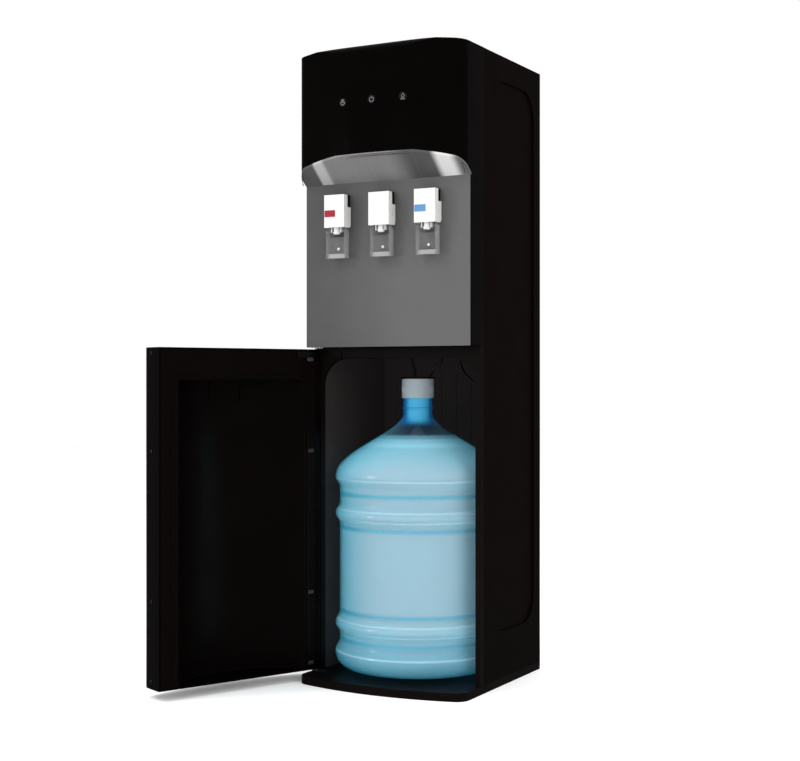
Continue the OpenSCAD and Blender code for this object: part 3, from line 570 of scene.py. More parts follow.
@dataclass
class Surface:
    """Points and faces worked out as whole arrays."""

    points: np.ndarray
    faces: list[np.ndarray]

    def __add__(self, other: "Surface") -> "Surface":
        """Both surfaces as one."""
        shift = len(self.points)
        return Surface(np.vstack([self.points, other.points]), self.faces + [f + shift for f in other.faces])

    def placed(self, origin: Sequence[float], first: Sequence[float], second: Sequence[float],
               third: Sequence[float]) -> "Surface":
        """The surface with its X, Y and Z laid along three directions from an origin."""
        basis = np.array([first, second, third], float)
        return Surface(np.array(origin, float) + self.points @ basis, self.faces)


def joined(surfaces: Iterable[Surface]) -> Surface:
    """All the surfaces as one."""
    return reduce(Surface.__add__, surfaces)


def spots(*parts: Union[np.ndarray, float]) -> np.ndarray:
    """Points from an array or one shared number for each coordinate."""
    return np.stack(np.broadcast_arrays(*parts), -1)


def arc(radius: float, start: float, stop: float, steps: int) -> np.ndarray:
    """An arc (r cos a, r sin a) between two angles in degrees."""
    angle = np.radians(np.linspace(start, stop, steps))
    return radius * spots(np.cos(angle), np.sin(angle))


def lattice(points: np.ndarray, wrap: bool = False, capped: bool = False) -> Surface:
    """A surface over a grid of points.

    Args:
        points: rows of points, shaped (rows, columns, 3).
        wrap: whether each row closes on itself.
        capped: whether the first and the last row are closed by fans about their mean points.

    Returns:
        The quads between neighbouring rows and columns, and the fans.
    """
    rows, columns = points.shape[:2]
    index = np.arange(rows * columns).reshape(rows, columns)
    if wrap:
        index = np.hstack([index, index[:, :1]])
    quads = np.stack([index[:-1, :-1], index[1:, :-1], index[1:, 1:], index[:-1, 1:]], -1).reshape(-1, 4)
    flat = points.reshape(-1, 3)
    faces = [quads]
    if capped:
        flat = np.vstack([flat, points[0].mean(0), points[-1].mean(0)])
        for ring, middle, turn in ((index[0], rows * columns, 1), (index[-1], rows * columns + 1, -1)):
            pairs = np.stack([ring[:-1], ring[1:]], -1)[:, ::turn]
            faces.append(np.hstack([pairs, np.full((len(pairs), 1), middle)]))
    return Surface(flat, faces)


def lathe(outline: np.ndarray, centre: Sequence[float], sides: int = 96,
          ripple: Callable[[np.ndarray, np.ndarray], np.ndarray] | None = None) -> Surface:
    """A turned shape: each outline point (r, z) becomes (r cos a, r sin a, z) for a over the full turn.

    Args:
        outline: radius and height of each point, shaped (n, 2), from pole to pole or closed on itself.
        centre: the axis in plan.
        sides: steps round the turn.
        ripple: a change of radius from the angle and the height, both as grids.

    Returns:
        The turned surface.
    """
    angle = np.linspace(0.0, 2.0 * np.pi, sides, endpoint=False)[None, :]
    radius = np.repeat(outline[:, :1], sides, axis=1)
    height = np.repeat(outline[:, 1:], sides, axis=1)
    if ripple is not None:
        radius = radius + ripple(np.repeat(angle, len(outline), axis=0), height)
    grid = np.stack([centre[0] + radius * np.cos(angle), centre[1] + radius * np.sin(angle), height], -1)
    return lattice(grid, wrap=True)


def sweep(path: np.ndarray, section: np.ndarray, square_to: Sequence[float], closed: bool = False) -> Surface:
    """A section (a, b) carried along a path: the point is path + a side + b up, square to the path.

    Args:
        path: the route's points, shaped (n, 3).
        section: the closed section, shaped (m, 2).
        square_to: a direction that is never along the path; side is it crossed with the path's direction.
        closed: whether the path ends where it starts.

    Returns:
        The swept surface, capped at its ends unless the path is closed.
    """
    ahead = np.roll(path, -1, 0) if closed else np.vstack([path[1:], path[-1:]])
    behind = np.roll(path, 1, 0) if closed else np.vstack([path[:1], path[:-1]])
    along = ahead - behind
    along /= np.linalg.norm(along, axis=1, keepdims=True)
    side = np.cross(along, np.array(square_to, float))
    side /= np.linalg.norm(side, axis=1, keepdims=True)
    up = np.cross(side, along)
    grid = path[:, None] + section[None, :, :1] * side[:, None] + section[None, :, 1:] * up[:, None]
    if closed:
        return lattice(np.concatenate([grid, grid[:1]]), wrap=True)
    return lattice(grid, wrap=True, capped=True)


def round_section(radius: float, sides: int = 14) -> np.ndarray:
    """A circle's points (r cos a, r sin a)."""
    return arc(radius, 0, 360, sides + 1)[:-1]


def rounded_outline(width: float, height: float, radius: float, steps: int = 6) -> np.ndarray:
    """A rounded rectangle about the origin: each corner is a quarter turn about its own centre."""
    corners = []
    for quarter, (across, up) in enumerate(((1, 1), (-1, 1), (-1, -1), (1, -1))):
        middle = np.array([across * (width / 2 - radius), up * (height / 2 - radius)])
        corners.append(middle + arc(radius, 90 * quarter, 90 * quarter + 90, steps))
    return np.vstack(corners)


def slab(outline: np.ndarray, low: float, high: float, edge: float, steps: int = 4) -> Surface:
    """A plate with rounded edges: the outline steps in by e (1 - cos t) as it rises by e sin t at each edge.

    Args:
        outline: a convex outline about the origin, anticlockwise, shaped (n, 2).
        low: the lower face's height.
        high: the upper face's height.
        edge: radius of the rounded edges.
        steps: steps over each rounded edge.

    Returns:
        The closed plate.
    """
    chord = np.roll(outline, -1, 0) - np.roll(outline, 1, 0)
    out = np.stack([chord[:, 1], -chord[:, 0]], -1)
    out /= np.linalg.norm(out, axis=1, keepdims=True)
    turn = np.linspace(0.0, np.pi / 2.0, steps)
    inset = np.concatenate([edge * (1.0 - np.sin(turn)), edge * (1.0 - np.cos(turn))])
    height = np.concatenate([low + edge * (1.0 - np.cos(turn)), high - edge + edge * np.sin(turn)])
    plan = outline[None] - inset[:, None, None] * out[None]
    grid = np.concatenate([plan, np.repeat(height[:, None, None], len(outline), axis=1)], -1)
    return lattice(grid, wrap=True, capped=True)


def bezier(first: Sequence[float], second: Sequence[float], third: Sequence[float], last: Sequence[float],
           steps: int) -> np.ndarray:
    """A cubic curve: (1-t)^3 a + 3 (1-t)^2 t b + 3 (1-t) t^2 c + t^3 d."""
    t = np.linspace(0.0, 1.0, steps + 1)[:, None]
    a, b, c, d = (np.array(point, float) for point in (first, second, third, last))
    return (1 - t) ** 3 * a + 3 * (1 - t) ** 2 * t * b + 3 * (1 - t) * t ** 2 * c + t ** 3 * d


def make_piece(name: str, surface: Surface, body: str, kind: Kind, stands_for: Sequence[str] = (),
               fold: float = 35.0) -> bpy.types.Object:
    """Makes one piece of the visual model.

    Args:
        name: the piece's name.
        surface: its shape.
        body: the CAD body that it rides on.
        kind: its finish.
        stands_for: the CAD nodes that it replaces.
        fold: the fold in degrees past which an edge stays sharp.

    Returns:
        The new object, at the origin.
    """
    mesh = bpy.data.meshes.new(name)
    faces = [tuple(face) for block in surface.faces for face in block.tolist()]
    mesh.from_pydata(surface.points.tolist(), [], faces)
    work = bmesh.new()
    work.from_mesh(mesh)
    bmesh.ops.remove_doubles(work, verts=work.verts, dist=1e-6)
    bmesh.ops.dissolve_degenerate(work, dist=1e-7, edges=work.edges)
    bmesh.ops.recalc_face_normals(work, faces=work.faces)
    work.to_mesh(mesh)
    work.free()
    return finish_piece(name, mesh, body, kind, stands_for, fold)


def finish_piece(name: str, mesh: bpy.types.Mesh, body: str, kind: Kind, stands_for: Sequence[str],
                 fold: float) -> bpy.types.Object:
    """Shades, dresses and links a mesh as a piece riding on its body.

    Args:
        name: the piece's name.
        mesh: its mesh.
        body: the CAD body that it rides on.
        kind: its finish.
        stands_for: the CAD nodes that it replaces.
        fold: the fold in degrees past which an edge stays sharp.

    Returns:
        The new object.
    """
    mesh.polygons.foreach_set("use_smooth", np.ones(len(mesh.polygons), bool))
    mesh.set_sharp_from_angle(angle=math.radians(fold))
    mesh.materials.clear()
    mesh.materials.append(kind.value.material())
    piece = bpy.data.objects.new(name, mesh)
    bpy.context.scene.collection.objects.link(piece)
    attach(piece, body)
    if stands_for:
        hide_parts(*stands_for)
    LOG.info("%s: %d faces on %s", name, len(mesh.polygons), body)
    return piece


def refine(node: str, kind: Kind, edge: float = 0.0006, fold: float = 32.0) -> bpy.types.Object:
    """A CAD node with softened edges.

    Args:
        node: the CAD node's name.
        kind: its finish.
        edge: width of the softened edges.
        fold: the fold in degrees past which an edge is softened.

    Returns:
        A merged copy of the node with a Bevel, which stands for the node.
    """
    source = frame["nodes"][node]
    mesh = source.data.copy()
    mesh.name = node + "_soft"
    if "custom_normal" in mesh.attributes:
        mesh.attributes.remove(mesh.attributes["custom_normal"])
    work = bmesh.new()
    work.from_mesh(mesh)
    bmesh.ops.remove_doubles(work, verts=work.verts, dist=2e-6)
    bmesh.ops.dissolve_limit(work, angle_limit=math.radians(0.4), verts=work.verts, edges=work.edges)
    work.to_mesh(mesh)
    work.free()
    body = next(name for name, nodes in frame["record"]["behaviour"]["bodies"].items() if node in nodes)
    piece = finish_piece(node + "_soft", mesh, body, kind, (node,), fold)
    bevel = piece.modifiers.new("soft_edges", "BEVEL")
    bevel.width = edge
    bevel.segments = 2
    bevel.limit_method = "ANGLE"
    bevel.angle_limit = math.radians(fold)
    bevel.harden_normals = True
    return piece


def dress(kinds: dict[str, Kind]) -> None:
    """Gives CAD nodes their finishes and reports each of them."""
    for node, kind in kinds.items():
        target = frame["nodes"][node]
        target.data.materials.clear()
        target.data.materials.append(kind.value.material())
        LOG.info("%s: CAD node in %s", node, kind.value.name)


def corner(node: str) -> tuple[np.ndarray, np.ndarray]:
    """The lowest and the highest corner of a CAD node, in metres."""
    low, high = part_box(node)
    return np.array(low, float), np.array(high, float)


# ---------------------------------------------------------------- the front's plan

@dataclass(frozen=True)
class FrontPlan:
    """The bowed front in plan, shared by the fascia, the hood and the door."""

    half: float = 155 * MM
    y_front: float = -165 * MM
    bow_r: float = 510 * MM
    corner_r: float = 22 * MM

    def y_at(self, x: np.ndarray) -> np.ndarray:
        """The front's y at each x: the bow's arc in the middle, and the corner's arc at each end."""
        x = np.abs(np.asarray(x, float))
        middle_x = self.half - self.corner_r
        y_bow = self.y_front + self.bow_r
        middle_y = y_bow - math.sqrt((self.bow_r - self.corner_r) ** 2 - middle_x ** 2)
        meet = middle_x * self.bow_r / (self.bow_r - self.corner_r)
        bow = y_bow - np.sqrt(self.bow_r ** 2 - np.minimum(x, self.half) ** 2)
        step = np.clip(x - middle_x, 0.0, self.corner_r)
        return np.where(x < meet, bow, middle_y - np.sqrt(self.corner_r ** 2 - step ** 2))


PLAN = FrontPlan()


# ---------------------------------------------------------------- sub-assemblies

@dataclass
class Cabinet:
    """The sheet panels, the base and the moulded frame round the bottle bay."""

    lip_r: float = 0.55 * MM
    lip_inset: float = 0.4 * MM
    lip_reach: float = 480 * MM
    lip_end: float = 3 * MM

    def build(self) -> None:
        """Softens the panels' edges and seats the cabinet's details."""
        for node in ("side_panel_left", "side_panel_right", "top_cover"):
            refine(node, Kind.PANEL, 0.8 * MM)
        refine("base_pan", Kind.SATIN, 0.8 * MM)
        refine("front_frame", Kind.SATIN, 0.7 * MM)
        dress({"bay_liner": Kind.BAY, "bottle_stop": Kind.BAY, "bottle_seat": Kind.BAY,
               "equipment_shelf": Kind.ZINC, "hinge_pins": Kind.SCREW, "magnet_catch": Kind.SATIN,
               "back_panel": Kind.PANEL})
        self.gasket()

    def gasket(self) -> None:
        """A thin lip down the seam where the side panels meet the fascia: a round section up each side."""
        low, high = corner("side_panel_right")
        height = np.linspace(high[2] - self.lip_reach, high[2] - self.lip_end, 24)
        section = round_section(self.lip_r, 8)
        made = joined(sweep(spots(side * (PLAN.half - self.lip_inset), low[1], height), section, (1, 0, 0))
                      for side in (-1, 1))
        make_piece("seam_lip", made, "cabinet", Kind.SATIN)


@dataclass
class ControlStrip:
    """The upper fascia with its three lenses and their generic glyphs."""

    lens_x: float = 56 * MM
    lens_z: float = 964 * MM
    line: float = 0.55 * MM

    def build(self) -> None:
        """Softens the fascia, dresses the lenses and the board, and builds the three glyphs."""
        refine("front_fascia", Kind.FASCIA, 0.6 * MM)
        dress({"indicator_lenses": Kind.LENS, "control_board": Kind.BOARD})
        for name, x, strokes in (("cup", -self.lens_x, self.cup()), ("ring", 0.0, self.ring()),
                                 ("drop", self.lens_x, self.drop())):
            self.glyph(name, x, strokes)

    def glyph(self, name: str, x: float, strokes: list[np.ndarray]) -> None:
        """Lays each stroke (a, b) on the bowed front as a fine round line.

        Args:
            name: the glyph's name.
            x: the lens's middle.
            strokes: runs of points across and up from the lens's middle, in millimetres.
        """
        bars = []
        for stroke in strokes:
            across = x + stroke[:, 0] * MM
            path = spots(across, PLAN.y_at(across), self.lens_z + stroke[:, 1] * MM)
            bars.append(sweep(path, round_section(self.line, 8), (0, 1, 0)))
        make_piece("glyph_" + name, joined(bars), "cabinet", Kind.GLYPH)

    @staticmethod
    def cup() -> list[np.ndarray]:
        """A cup's bowl, its handle and three steam lines a = a0 + 0.5 sin 2b."""
        half = np.array([[-3.4, 0.2], [-3.0, -2.4], [-1.8, -4.2]])
        bowl = np.vstack([half, half[::-1] * np.array([-1.0, 1.0]), half[:1]])
        rise = np.linspace(1.4, 4.6, 10)
        steam = [spots(start + 0.5 * np.sin(rise * 2.0), rise) for start in (-1.8, 0.0, 1.8)]
        return [bowl, arc(1.3, -80, 80, 10) + np.array([3.2, -1.6]), *steam]

    @staticmethod
    def ring() -> list[np.ndarray]:
        """A ring open at its top, with an upright bar in the gap."""
        return [arc(3.8, 115, 425, 24) + np.array([0.0, -0.4]), np.array([[0.0, 1.2], [0.0, 4.6]])]

    @staticmethod
    def drop() -> list[np.ndarray]:
        """A drop over a short wave."""
        lift = np.array([0.0, 0.2])
        drop = np.vstack([arc(2.4, -210, 30, 24) + lift, [[0.0, 5.0]], arc(2.4, -210, -205, 2) + lift])
        sway = np.linspace(-3.6, 3.6, 16)
        return [drop, spots(sway, -4.4 + 0.5 * np.sin(sway * 1.8))]


@dataclass
class TapBay:
    """The alcove's trim, the brushed panel and the three push taps."""

    pitch: float = 84.5 * MM
    hood_z: float = 838 * MM
    hood_r: float = 38 * MM
    bead: float = 0.5 * MM
    bead_sunk: float = 0.6 * MM
    y_tap: float = -142 * MM
    paddle_z: float = 712 * MM

    def build(self) -> None:
        """Builds the trim and the taps."""
        dress({"tap_panel": Kind.TAP_PANEL, "hood_strip": Kind.HOOD, "tap_brackets": Kind.SATIN,
               "tap_pins": Kind.SCREW, "hot_badge": Kind.RED, "cold_badge": Kind.BLUE,
               "tap_hoses": Kind.SILICONE, "tap_spouts": Kind.WHITE})
        for name in ("hot", "room", "cold"):
            refine("tap_body_" + name, Kind.WHITE, 1.0 * MM)
            refine("paddle_" + name, Kind.CLEAR, 0.5 * MM)
        self.rim("hood_rim_outer", 0.0)
        self.rim("hood_rim_inner", 3.2 * MM)
        for index, name in enumerate(("hot", "room", "cold")):
            self.tap_details(name, (index - 1) * self.pitch)

    def rim(self, name: str, inset: float) -> None:
        """A bright bead along the hood's lip: up each corner's arc and across, on the bowed front.

        Args:
            name: the piece's name.
            inset: how far inside the lip it runs.
        """
        radius = self.hood_r - inset
        middle = PLAN.half - self.hood_r
        right = arc(radius, 0, 90, 20) + np.array([middle, self.hood_z])
        top = spots(np.linspace(middle, -middle, 40)[1:-1], self.hood_z + radius)
        run = np.vstack([right, top, right[::-1] * np.array([-1.0, 1.0])])
        path = spots(run[:, 0], PLAN.y_at(run[:, 0]) + self.bead_sunk + inset * 0.9, run[:, 1])
        make_piece(name, sweep(path, round_section(self.bead, 10), (0, 1, 0)), "cabinet", Kind.TRIM)

    def tap_details(self, name: str, x: float) -> None:
        """The ring round a spout's tip, the dot on the paddle's bar and the frosted bar itself.

        Args:
            name: the tap's name.
            x: the tap's middle.
        """
        low = corner("tap_spouts")[0]
        ring = np.array([[5.0, 0.0], [5.9, 0.3], [6.1, 1.4], [5.9, 2.6], [5.0, 3.0], [5.0, 0.0]]) * MM
        ring[:, 1] += low[2] + 1.0 * MM
        make_piece("spout_ring_" + name, lathe(ring, (x, self.y_tap + 9 * MM), 40), "cabinet", Kind.WHITE)
        dot = np.array([[0.0, 0.0], [2.2, 0.0], [2.4, 0.4], [2.0, 1.0], [1.0, 1.35], [0.0, 1.45]]) * MM
        button = lathe(dot, (0.0, 0.0), 28).placed((x, self.y_tap + 15 * MM, self.paddle_z + 16 * MM),
                                                   *FACING_FRONT)
        make_piece("paddle_dot_" + name, button, "paddle_" + name, Kind.WHITE)
        plan = rounded_outline(36 * MM, 7.4 * MM, 1.5 * MM)
        place = (x, self.y_tap + 10.1 * MM, self.paddle_z + 4 * MM)
        bar = slab(plan, 0.0, 1.1 * MM, 0.5 * MM).placed(place, *FACING_FRONT)
        make_piece("paddle_lip_" + name, bar, "paddle_" + name, Kind.FROSTED)


@dataclass
class Door:
    """The open lower door: its skin, its liner and what is fixed to them. Drawn closed, then swung."""

    hinge: tuple[float, float] = (-149 * MM, -93 * MM)
    open_deg: float = 114.0
    y_rear: float = -87 * MM
    axis_y: float = -4 * MM
    recess_r: float = 146 * MM
    recess_top: float = 510 * MM
    rim_x: tuple[float, float] = (-126 * MM, 132 * MM)
    rim_low: float = 20.5 * MM
    rim_r: float = 17 * MM
    step_z: tuple[float, ...] = (21.5 * MM, 30 * MM, 37 * MM, 44 * MM)
    step_r: tuple[float, ...] = (1.6 * MM, 1.1 * MM, 1.1 * MM, 1.1 * MM)
    screw_z: tuple[float, ...] = (29 * MM, 156 * MM, 396 * MM, 553 * MM)
    clip_x: float = -132 * MM
    clip_z: tuple[float, ...] = (30 * MM, 150 * MM, 390 * MM, 545 * MM)

    def swung(self, surface: Surface) -> Surface:
        """The surface turned about the hinge from closed to open, clockwise from above."""
        turn = math.radians(-self.open_deg)
        cosine, sine = math.cos(turn), math.sin(turn)
        across = surface.points[:, 0] - self.hinge[0]
        along = surface.points[:, 1] - self.hinge[1]
        turned = spots(self.hinge[0] + across * cosine - along * sine,
                       self.hinge[1] + across * sine + along * cosine, surface.points[:, 2])
        return Surface(turned, surface.faces)

    def build(self) -> None:
        """Builds the door's shell and its fittings."""
        refine("door_skin", Kind.FASCIA, 0.9 * MM)
        refine("door_liner", Kind.LINER, 0.6 * MM)
        dress({"door_bushes": Kind.WHITE, "door_strike": Kind.DULL_SCREW})
        self.rim()
        self.fins()
        self.steps()
        self.screws()
        self.clips()

    def rim(self) -> None:
        """A half-round bead round the recess: up one side, over two round corners and down the other."""
        left, right = self.rim_x
        low, high = self.rim_low, self.recess_top + 6 * MM - self.rim_r
        rise = np.linspace(low, high, 30)
        first = arc(self.rim_r, 0, 90, 12) + np.array([right - self.rim_r, high])
        second = arc(self.rim_r, 90, 180, 12) + np.array([left + self.rim_r, high])
        run = np.vstack([spots(right, rise), first[1:], second, spots(left, rise[::-1])[1:]])
        path = spots(run[:, 0], self.y_rear, run[:, 1])
        section = round_section(1.0, 16) * np.array([2.2 * MM, 2.0 * MM])
        make_piece("door_rim", self.swung(sweep(path, section, (0, 1, 0))), "door", Kind.LINER)

    def wall_y(self, x: float) -> float:
        """The recess wall's y at an x of the closed door."""
        return self.axis_y - math.sqrt(self.recess_r ** 2 - x ** 2)

    def fins(self) -> None:
        """Two moulded fins at the recess's top, each a rounded bar that stands 3 mm off the wall."""
        bar = slab(rounded_outline(2.4 * MM, 34 * MM, 1.1 * MM), -1.0 * MM, 3.0 * MM, 0.8 * MM)
        height = self.recess_top - 19 * MM
        made = joined(bar.placed((x, self.wall_y(x), height), *FACING_BACK)
                      for x in (-29 * MM, 29 * MM))
        make_piece("door_fins", self.swung(made), "door", Kind.LINER)

    def steps(self) -> None:
        """Moulded steps round the recess's foot: beads that follow the wall's arc at four heights."""
        reach = math.acos((self.axis_y - self.y_rear) / self.recess_r) - math.radians(3.0)
        angle = np.linspace(-reach, reach, 60)
        radius = self.recess_r - 0.2 * MM
        for index, (height, size) in enumerate(zip(self.step_z, self.step_r)):
            path = spots(radius * np.sin(angle), self.axis_y - radius * np.cos(angle), height)
            bead = sweep(path, round_section(size, 10), (0, 0, 1))
            make_piece("door_step_%d" % index, self.swung(bead), "door", Kind.LINER)

    def screws(self) -> None:
        """Pan-head screws down the free edge: a domed head with a dished middle."""
        head = np.array([[0.0, 0.35], [0.9, 0.4], [1.3, 1.1], [2.2, 1.2], [3.0, 0.9], [3.5, 0.4], [3.5, 0.0],
                         [0.0, 0.0]]) * MM
        turned = lathe(head, (0.0, 0.0), 32)
        y_screw = self.y_rear - 26 * MM
        made = joined(turned.placed((PLAN.half, y_screw, height), (0, 1, 0), (0, 0, 1), (1, 0, 0))
                      for height in self.screw_z)
        make_piece("door_screw_heads", self.swung(made), "door", Kind.DULL_SCREW, ("door_screws",))

    def clips(self) -> None:
        """Liner clips by the hinge: rounded bars with a raised middle rib."""
        base = slab(rounded_outline(12 * MM, 6 * MM, 1.2 * MM), 0.0, 1.3 * MM, 0.4 * MM)
        rib = slab(rounded_outline(9 * MM, 2.2 * MM, 1.0 * MM), 0.6 * MM, 2.0 * MM, 0.4 * MM)
        made = joined((base + rib).placed((self.clip_x, self.y_rear, height), *FACING_BACK)
                      for height in self.clip_z)
        make_piece("door_liner_clips", self.swung(made), "door", Kind.CLIP, ("door_clips",))


@dataclass
class BottleBay:
    """The hoses that come through the bay's ceiling, and their collars."""

    hose_r: float = 3 * MM
    ceiling: float = 556 * MM
    top: float = 573 * MM
    bottle_y: float = -4 * MM
    tops: tuple = ((-10, -4), (44, 4), (78, 2))
    drops: tuple = (23, 23, 40)
    pulls: tuple = ((-4, -4, 533), (22, 4, 533), (107, 2, 497))
    ends: tuple = ((-4, -4, 515.8), (22, 4, 515.8), (146.9, 2, 497))

    def point(self, spot: Sequence[float], height: float | None = None) -> np.ndarray:
        """A route's point in metres, from millimetres about the bottle's axis."""
        up = spot[2] if height is None else height
        return np.array([spot[0] * MM, self.bottle_y + spot[1] * MM, up * MM])

    def build(self) -> None:
        """Sweeps each hose along its route and turns a collar where it leaves the ceiling."""
        dress({"hose_gland": Kind.SATIN})
        hoses, rings = [], []
        collar = np.array([[3.3, -6.0], [5.6, -6.0], [6.4, -5.2], [6.8, -4.2], [3.3, -4.2], [3.3, -6.0]]) * MM
        collar[:, 1] += self.ceiling
        ceiling = self.ceiling / MM
        for spot, drop, pull, end in zip(self.tops, self.drops, self.pulls, self.ends):
            curve = bezier(self.point(spot, ceiling - 6), self.point(spot, ceiling - drop),
                           self.point(pull), self.point(end), 28)
            path = np.vstack([self.point(spot, self.top / MM), curve])
            hoses.append(sweep(path, round_section(self.hose_r, 18), (0, 1, 0)))
            rings.append(lathe(collar, (spot[0] * MM, self.bottle_y + spot[1] * MM), 36))
        make_piece("bay_hoses", joined(hoses), "cabinet", Kind.RUBBER, ("supply_hoses",))
        make_piece("hose_collars", joined(rings), "cabinet", Kind.SATIN)


@dataclass
class Bottle:
    """The bottle: its ringed wall, the water in it, its neck and its cap."""

    radius: float = 141 * MM
    centre_y: float = -4 * MM
    base_z: float = 20.8 * MM
    foot: float = 28 * MM
    ring_d: float = 7.5 * MM
    ring_z: tuple[float, float] = (98 * MM, 284 * MM)
    ring_half: float = 18 * MM
    waist_z: float = 68 * MM
    shoulder_foot: float = 347 * MM
    shoulder_z: float = 450 * MM
    neck_r: float = 25 * MM
    wall: float = 1.2 * MM
    water_z: float = 415 * MM
    cap_top: float = 515 * MM
    cap_h: float = 36 * MM
    cap_r: float = 27.5 * MM
    flange: float = 3 * MM

    @staticmethod
    def bump(share: np.ndarray) -> np.ndarray:
        """A raised cosine: (1 + cos pi t) / 2 where t is within 1, and 0 past it."""
        return np.where(np.abs(share) < 1.0, (1.0 + np.cos(np.pi * share)) / 2.0, 0.0)

    def outline(self, inset: float) -> np.ndarray:
        """The wall's outline from the foot's middle to the neck.

        Args:
            inset: how far inside the outer wall it runs.

        Returns:
            Points (r, z): a round foot, a wall with two raised rings, and a Bezier shoulder.
        """
        wall_z0 = self.base_z + self.foot
        turn = np.radians(np.linspace(0, 84, 12))
        foot = spots(self.radius - self.foot + (self.foot - inset) * np.sin(turn),
                     wall_z0 - (self.foot - inset) * np.cos(turn))
        height = np.arange(wall_z0, self.shoulder_foot - 1 * MM, 2 * MM)
        swell = np.max([self.bump((height - self.ring_z[0]) / self.ring_half),
                        self.bump((height - self.ring_z[1]) / self.ring_half),
                        self.bump((height - wall_z0) / (self.waist_z - wall_z0)),
                        self.bump((height - self.shoulder_foot) / (20 * MM))], axis=0)
        side = self.radius - inset
        wall = spots(side - self.ring_d * (1.0 - swell), height)
        shoulder = bezier((side, self.shoulder_foot), (side, self.shoulder_foot + 41 * MM),
                          (self.neck_r + 11 * MM - inset, self.shoulder_z - 33 * MM),
                          (self.neck_r - inset, self.shoulder_z), 30)
        return np.vstack([[[0.0, self.base_z + inset]], foot, wall, shoulder])

    def foot_flutes(self, angle: np.ndarray, height: np.ndarray) -> np.ndarray:
        """Shallow flutes round the foot: -0.45 mm (1 + cos 84 a) faded out above the foot."""
        fade = self.bump((height - (self.base_z + 17 * MM)) / (15 * MM))
        return -0.45 * MM * (1.0 + np.cos(84.0 * angle)) * fade

    def build(self) -> None:
        """Turns the shell, the water, the neck's ring and the cap."""
        self.shell()
        self.water()
        self.cap()
        dress({"suction_tube": Kind.PROBE})

    def shell(self) -> None:
        """The wall as one closed skin: its outer outline up and its inner outline back down."""
        neck_top = self.cap_top - self.cap_h
        outer = np.vstack([self.outline(0.0), [[self.neck_r, neck_top]]])
        inner = np.vstack([self.outline(self.wall), [[self.neck_r - self.wall, neck_top]]])[::-1]
        surface = lathe(np.vstack([outer, inner]), (0.0, self.centre_y), 336, self.foot_flutes)
        make_piece("bottle_wall", surface, "bottle", Kind.SKIN, ("bottle_shell",), fold=50)
        ring_z = self.shoulder_z + 12 * MM
        ring = np.array([[0.0, -1.6], [1.6, -1.2], [2.2, 0.0], [1.6, 1.2], [0.0, 1.6], [0.0, -1.6]]) * MM
        ring += np.array([self.neck_r - 0.2 * MM, ring_z])
        make_piece("neck_ring", lathe(ring, (0.0, self.centre_y), 96), "bottle", Kind.SKIN)

    def water(self) -> None:
        """The water's skin just inside the wall, with a surface that creeps up at its brim."""
        full = self.outline(self.wall + 2.4 * MM)
        below = full[full[:, 1] < self.water_z - 1.5 * MM]
        brim_r = float(np.interp(self.water_z, full[:, 1], full[:, 0]))
        brim = np.array([[brim_r, self.water_z], [brim_r - 1.5 * MM, self.water_z - 1.0 * MM],
                         [brim_r - 4 * MM, self.water_z - 1.6 * MM], [0.0, self.water_z - 1.7 * MM]])
        surface = lathe(np.vstack([below, brim]), (0.0, self.centre_y), 144)
        make_piece("water_fill", surface, "bottle", Kind.WATER, ("bottle_water",), fold=50)

    def cap_grip(self, angle: np.ndarray, height: np.ndarray) -> np.ndarray:
        """Fine ribs down the cap's skirt: -0.3 mm (1 + cos 60 a) between the skirt's edges."""
        low = self.cap_top - self.cap_h
        fade = self.bump((height - (low + 14 * MM)) / (15 * MM))
        return -0.3 * MM * (1.0 + np.cos(60.0 * angle)) * fade

    def cap(self) -> None:
        """The pale skirt with its grip, and the dark flange over it."""
        low = self.cap_top - self.cap_h
        rim = self.cap_top - self.flange
        bore = self.neck_r + 0.3 * MM
        skirt = np.array([[bore, low], [self.cap_r - 0.6 * MM, low], [self.cap_r, low + 0.8 * MM]])
        rise = np.linspace(low + 2 * MM, rim - 1.2 * MM, 18)
        side = spots(self.cap_r, rise)
        top = np.array([[self.cap_r - 0.8 * MM, rim], [0.0, rim]])
        under = np.array([[0.0, low + 1 * MM], [bore, low + 1 * MM], [bore, low]])
        surface = lathe(np.vstack([skirt, side, top, under]), (0.0, self.centre_y), 240, self.cap_grip)
        make_piece("cap_skirt", surface, "bottle", Kind.CAP, ("bottle_cap",))
        wide, cut = self.cap_r + 1.5 * MM, 0.8 * MM
        plate = np.array([[0.0, rim], [wide - cut, rim], [wide, rim + cut], [wide, self.cap_top - cut],
                          [wide - cut, self.cap_top], [0.0, self.cap_top]])
        make_piece("cap_flange", lathe(plate, (0.0, self.centre_y), 96), "bottle", Kind.SATIN)


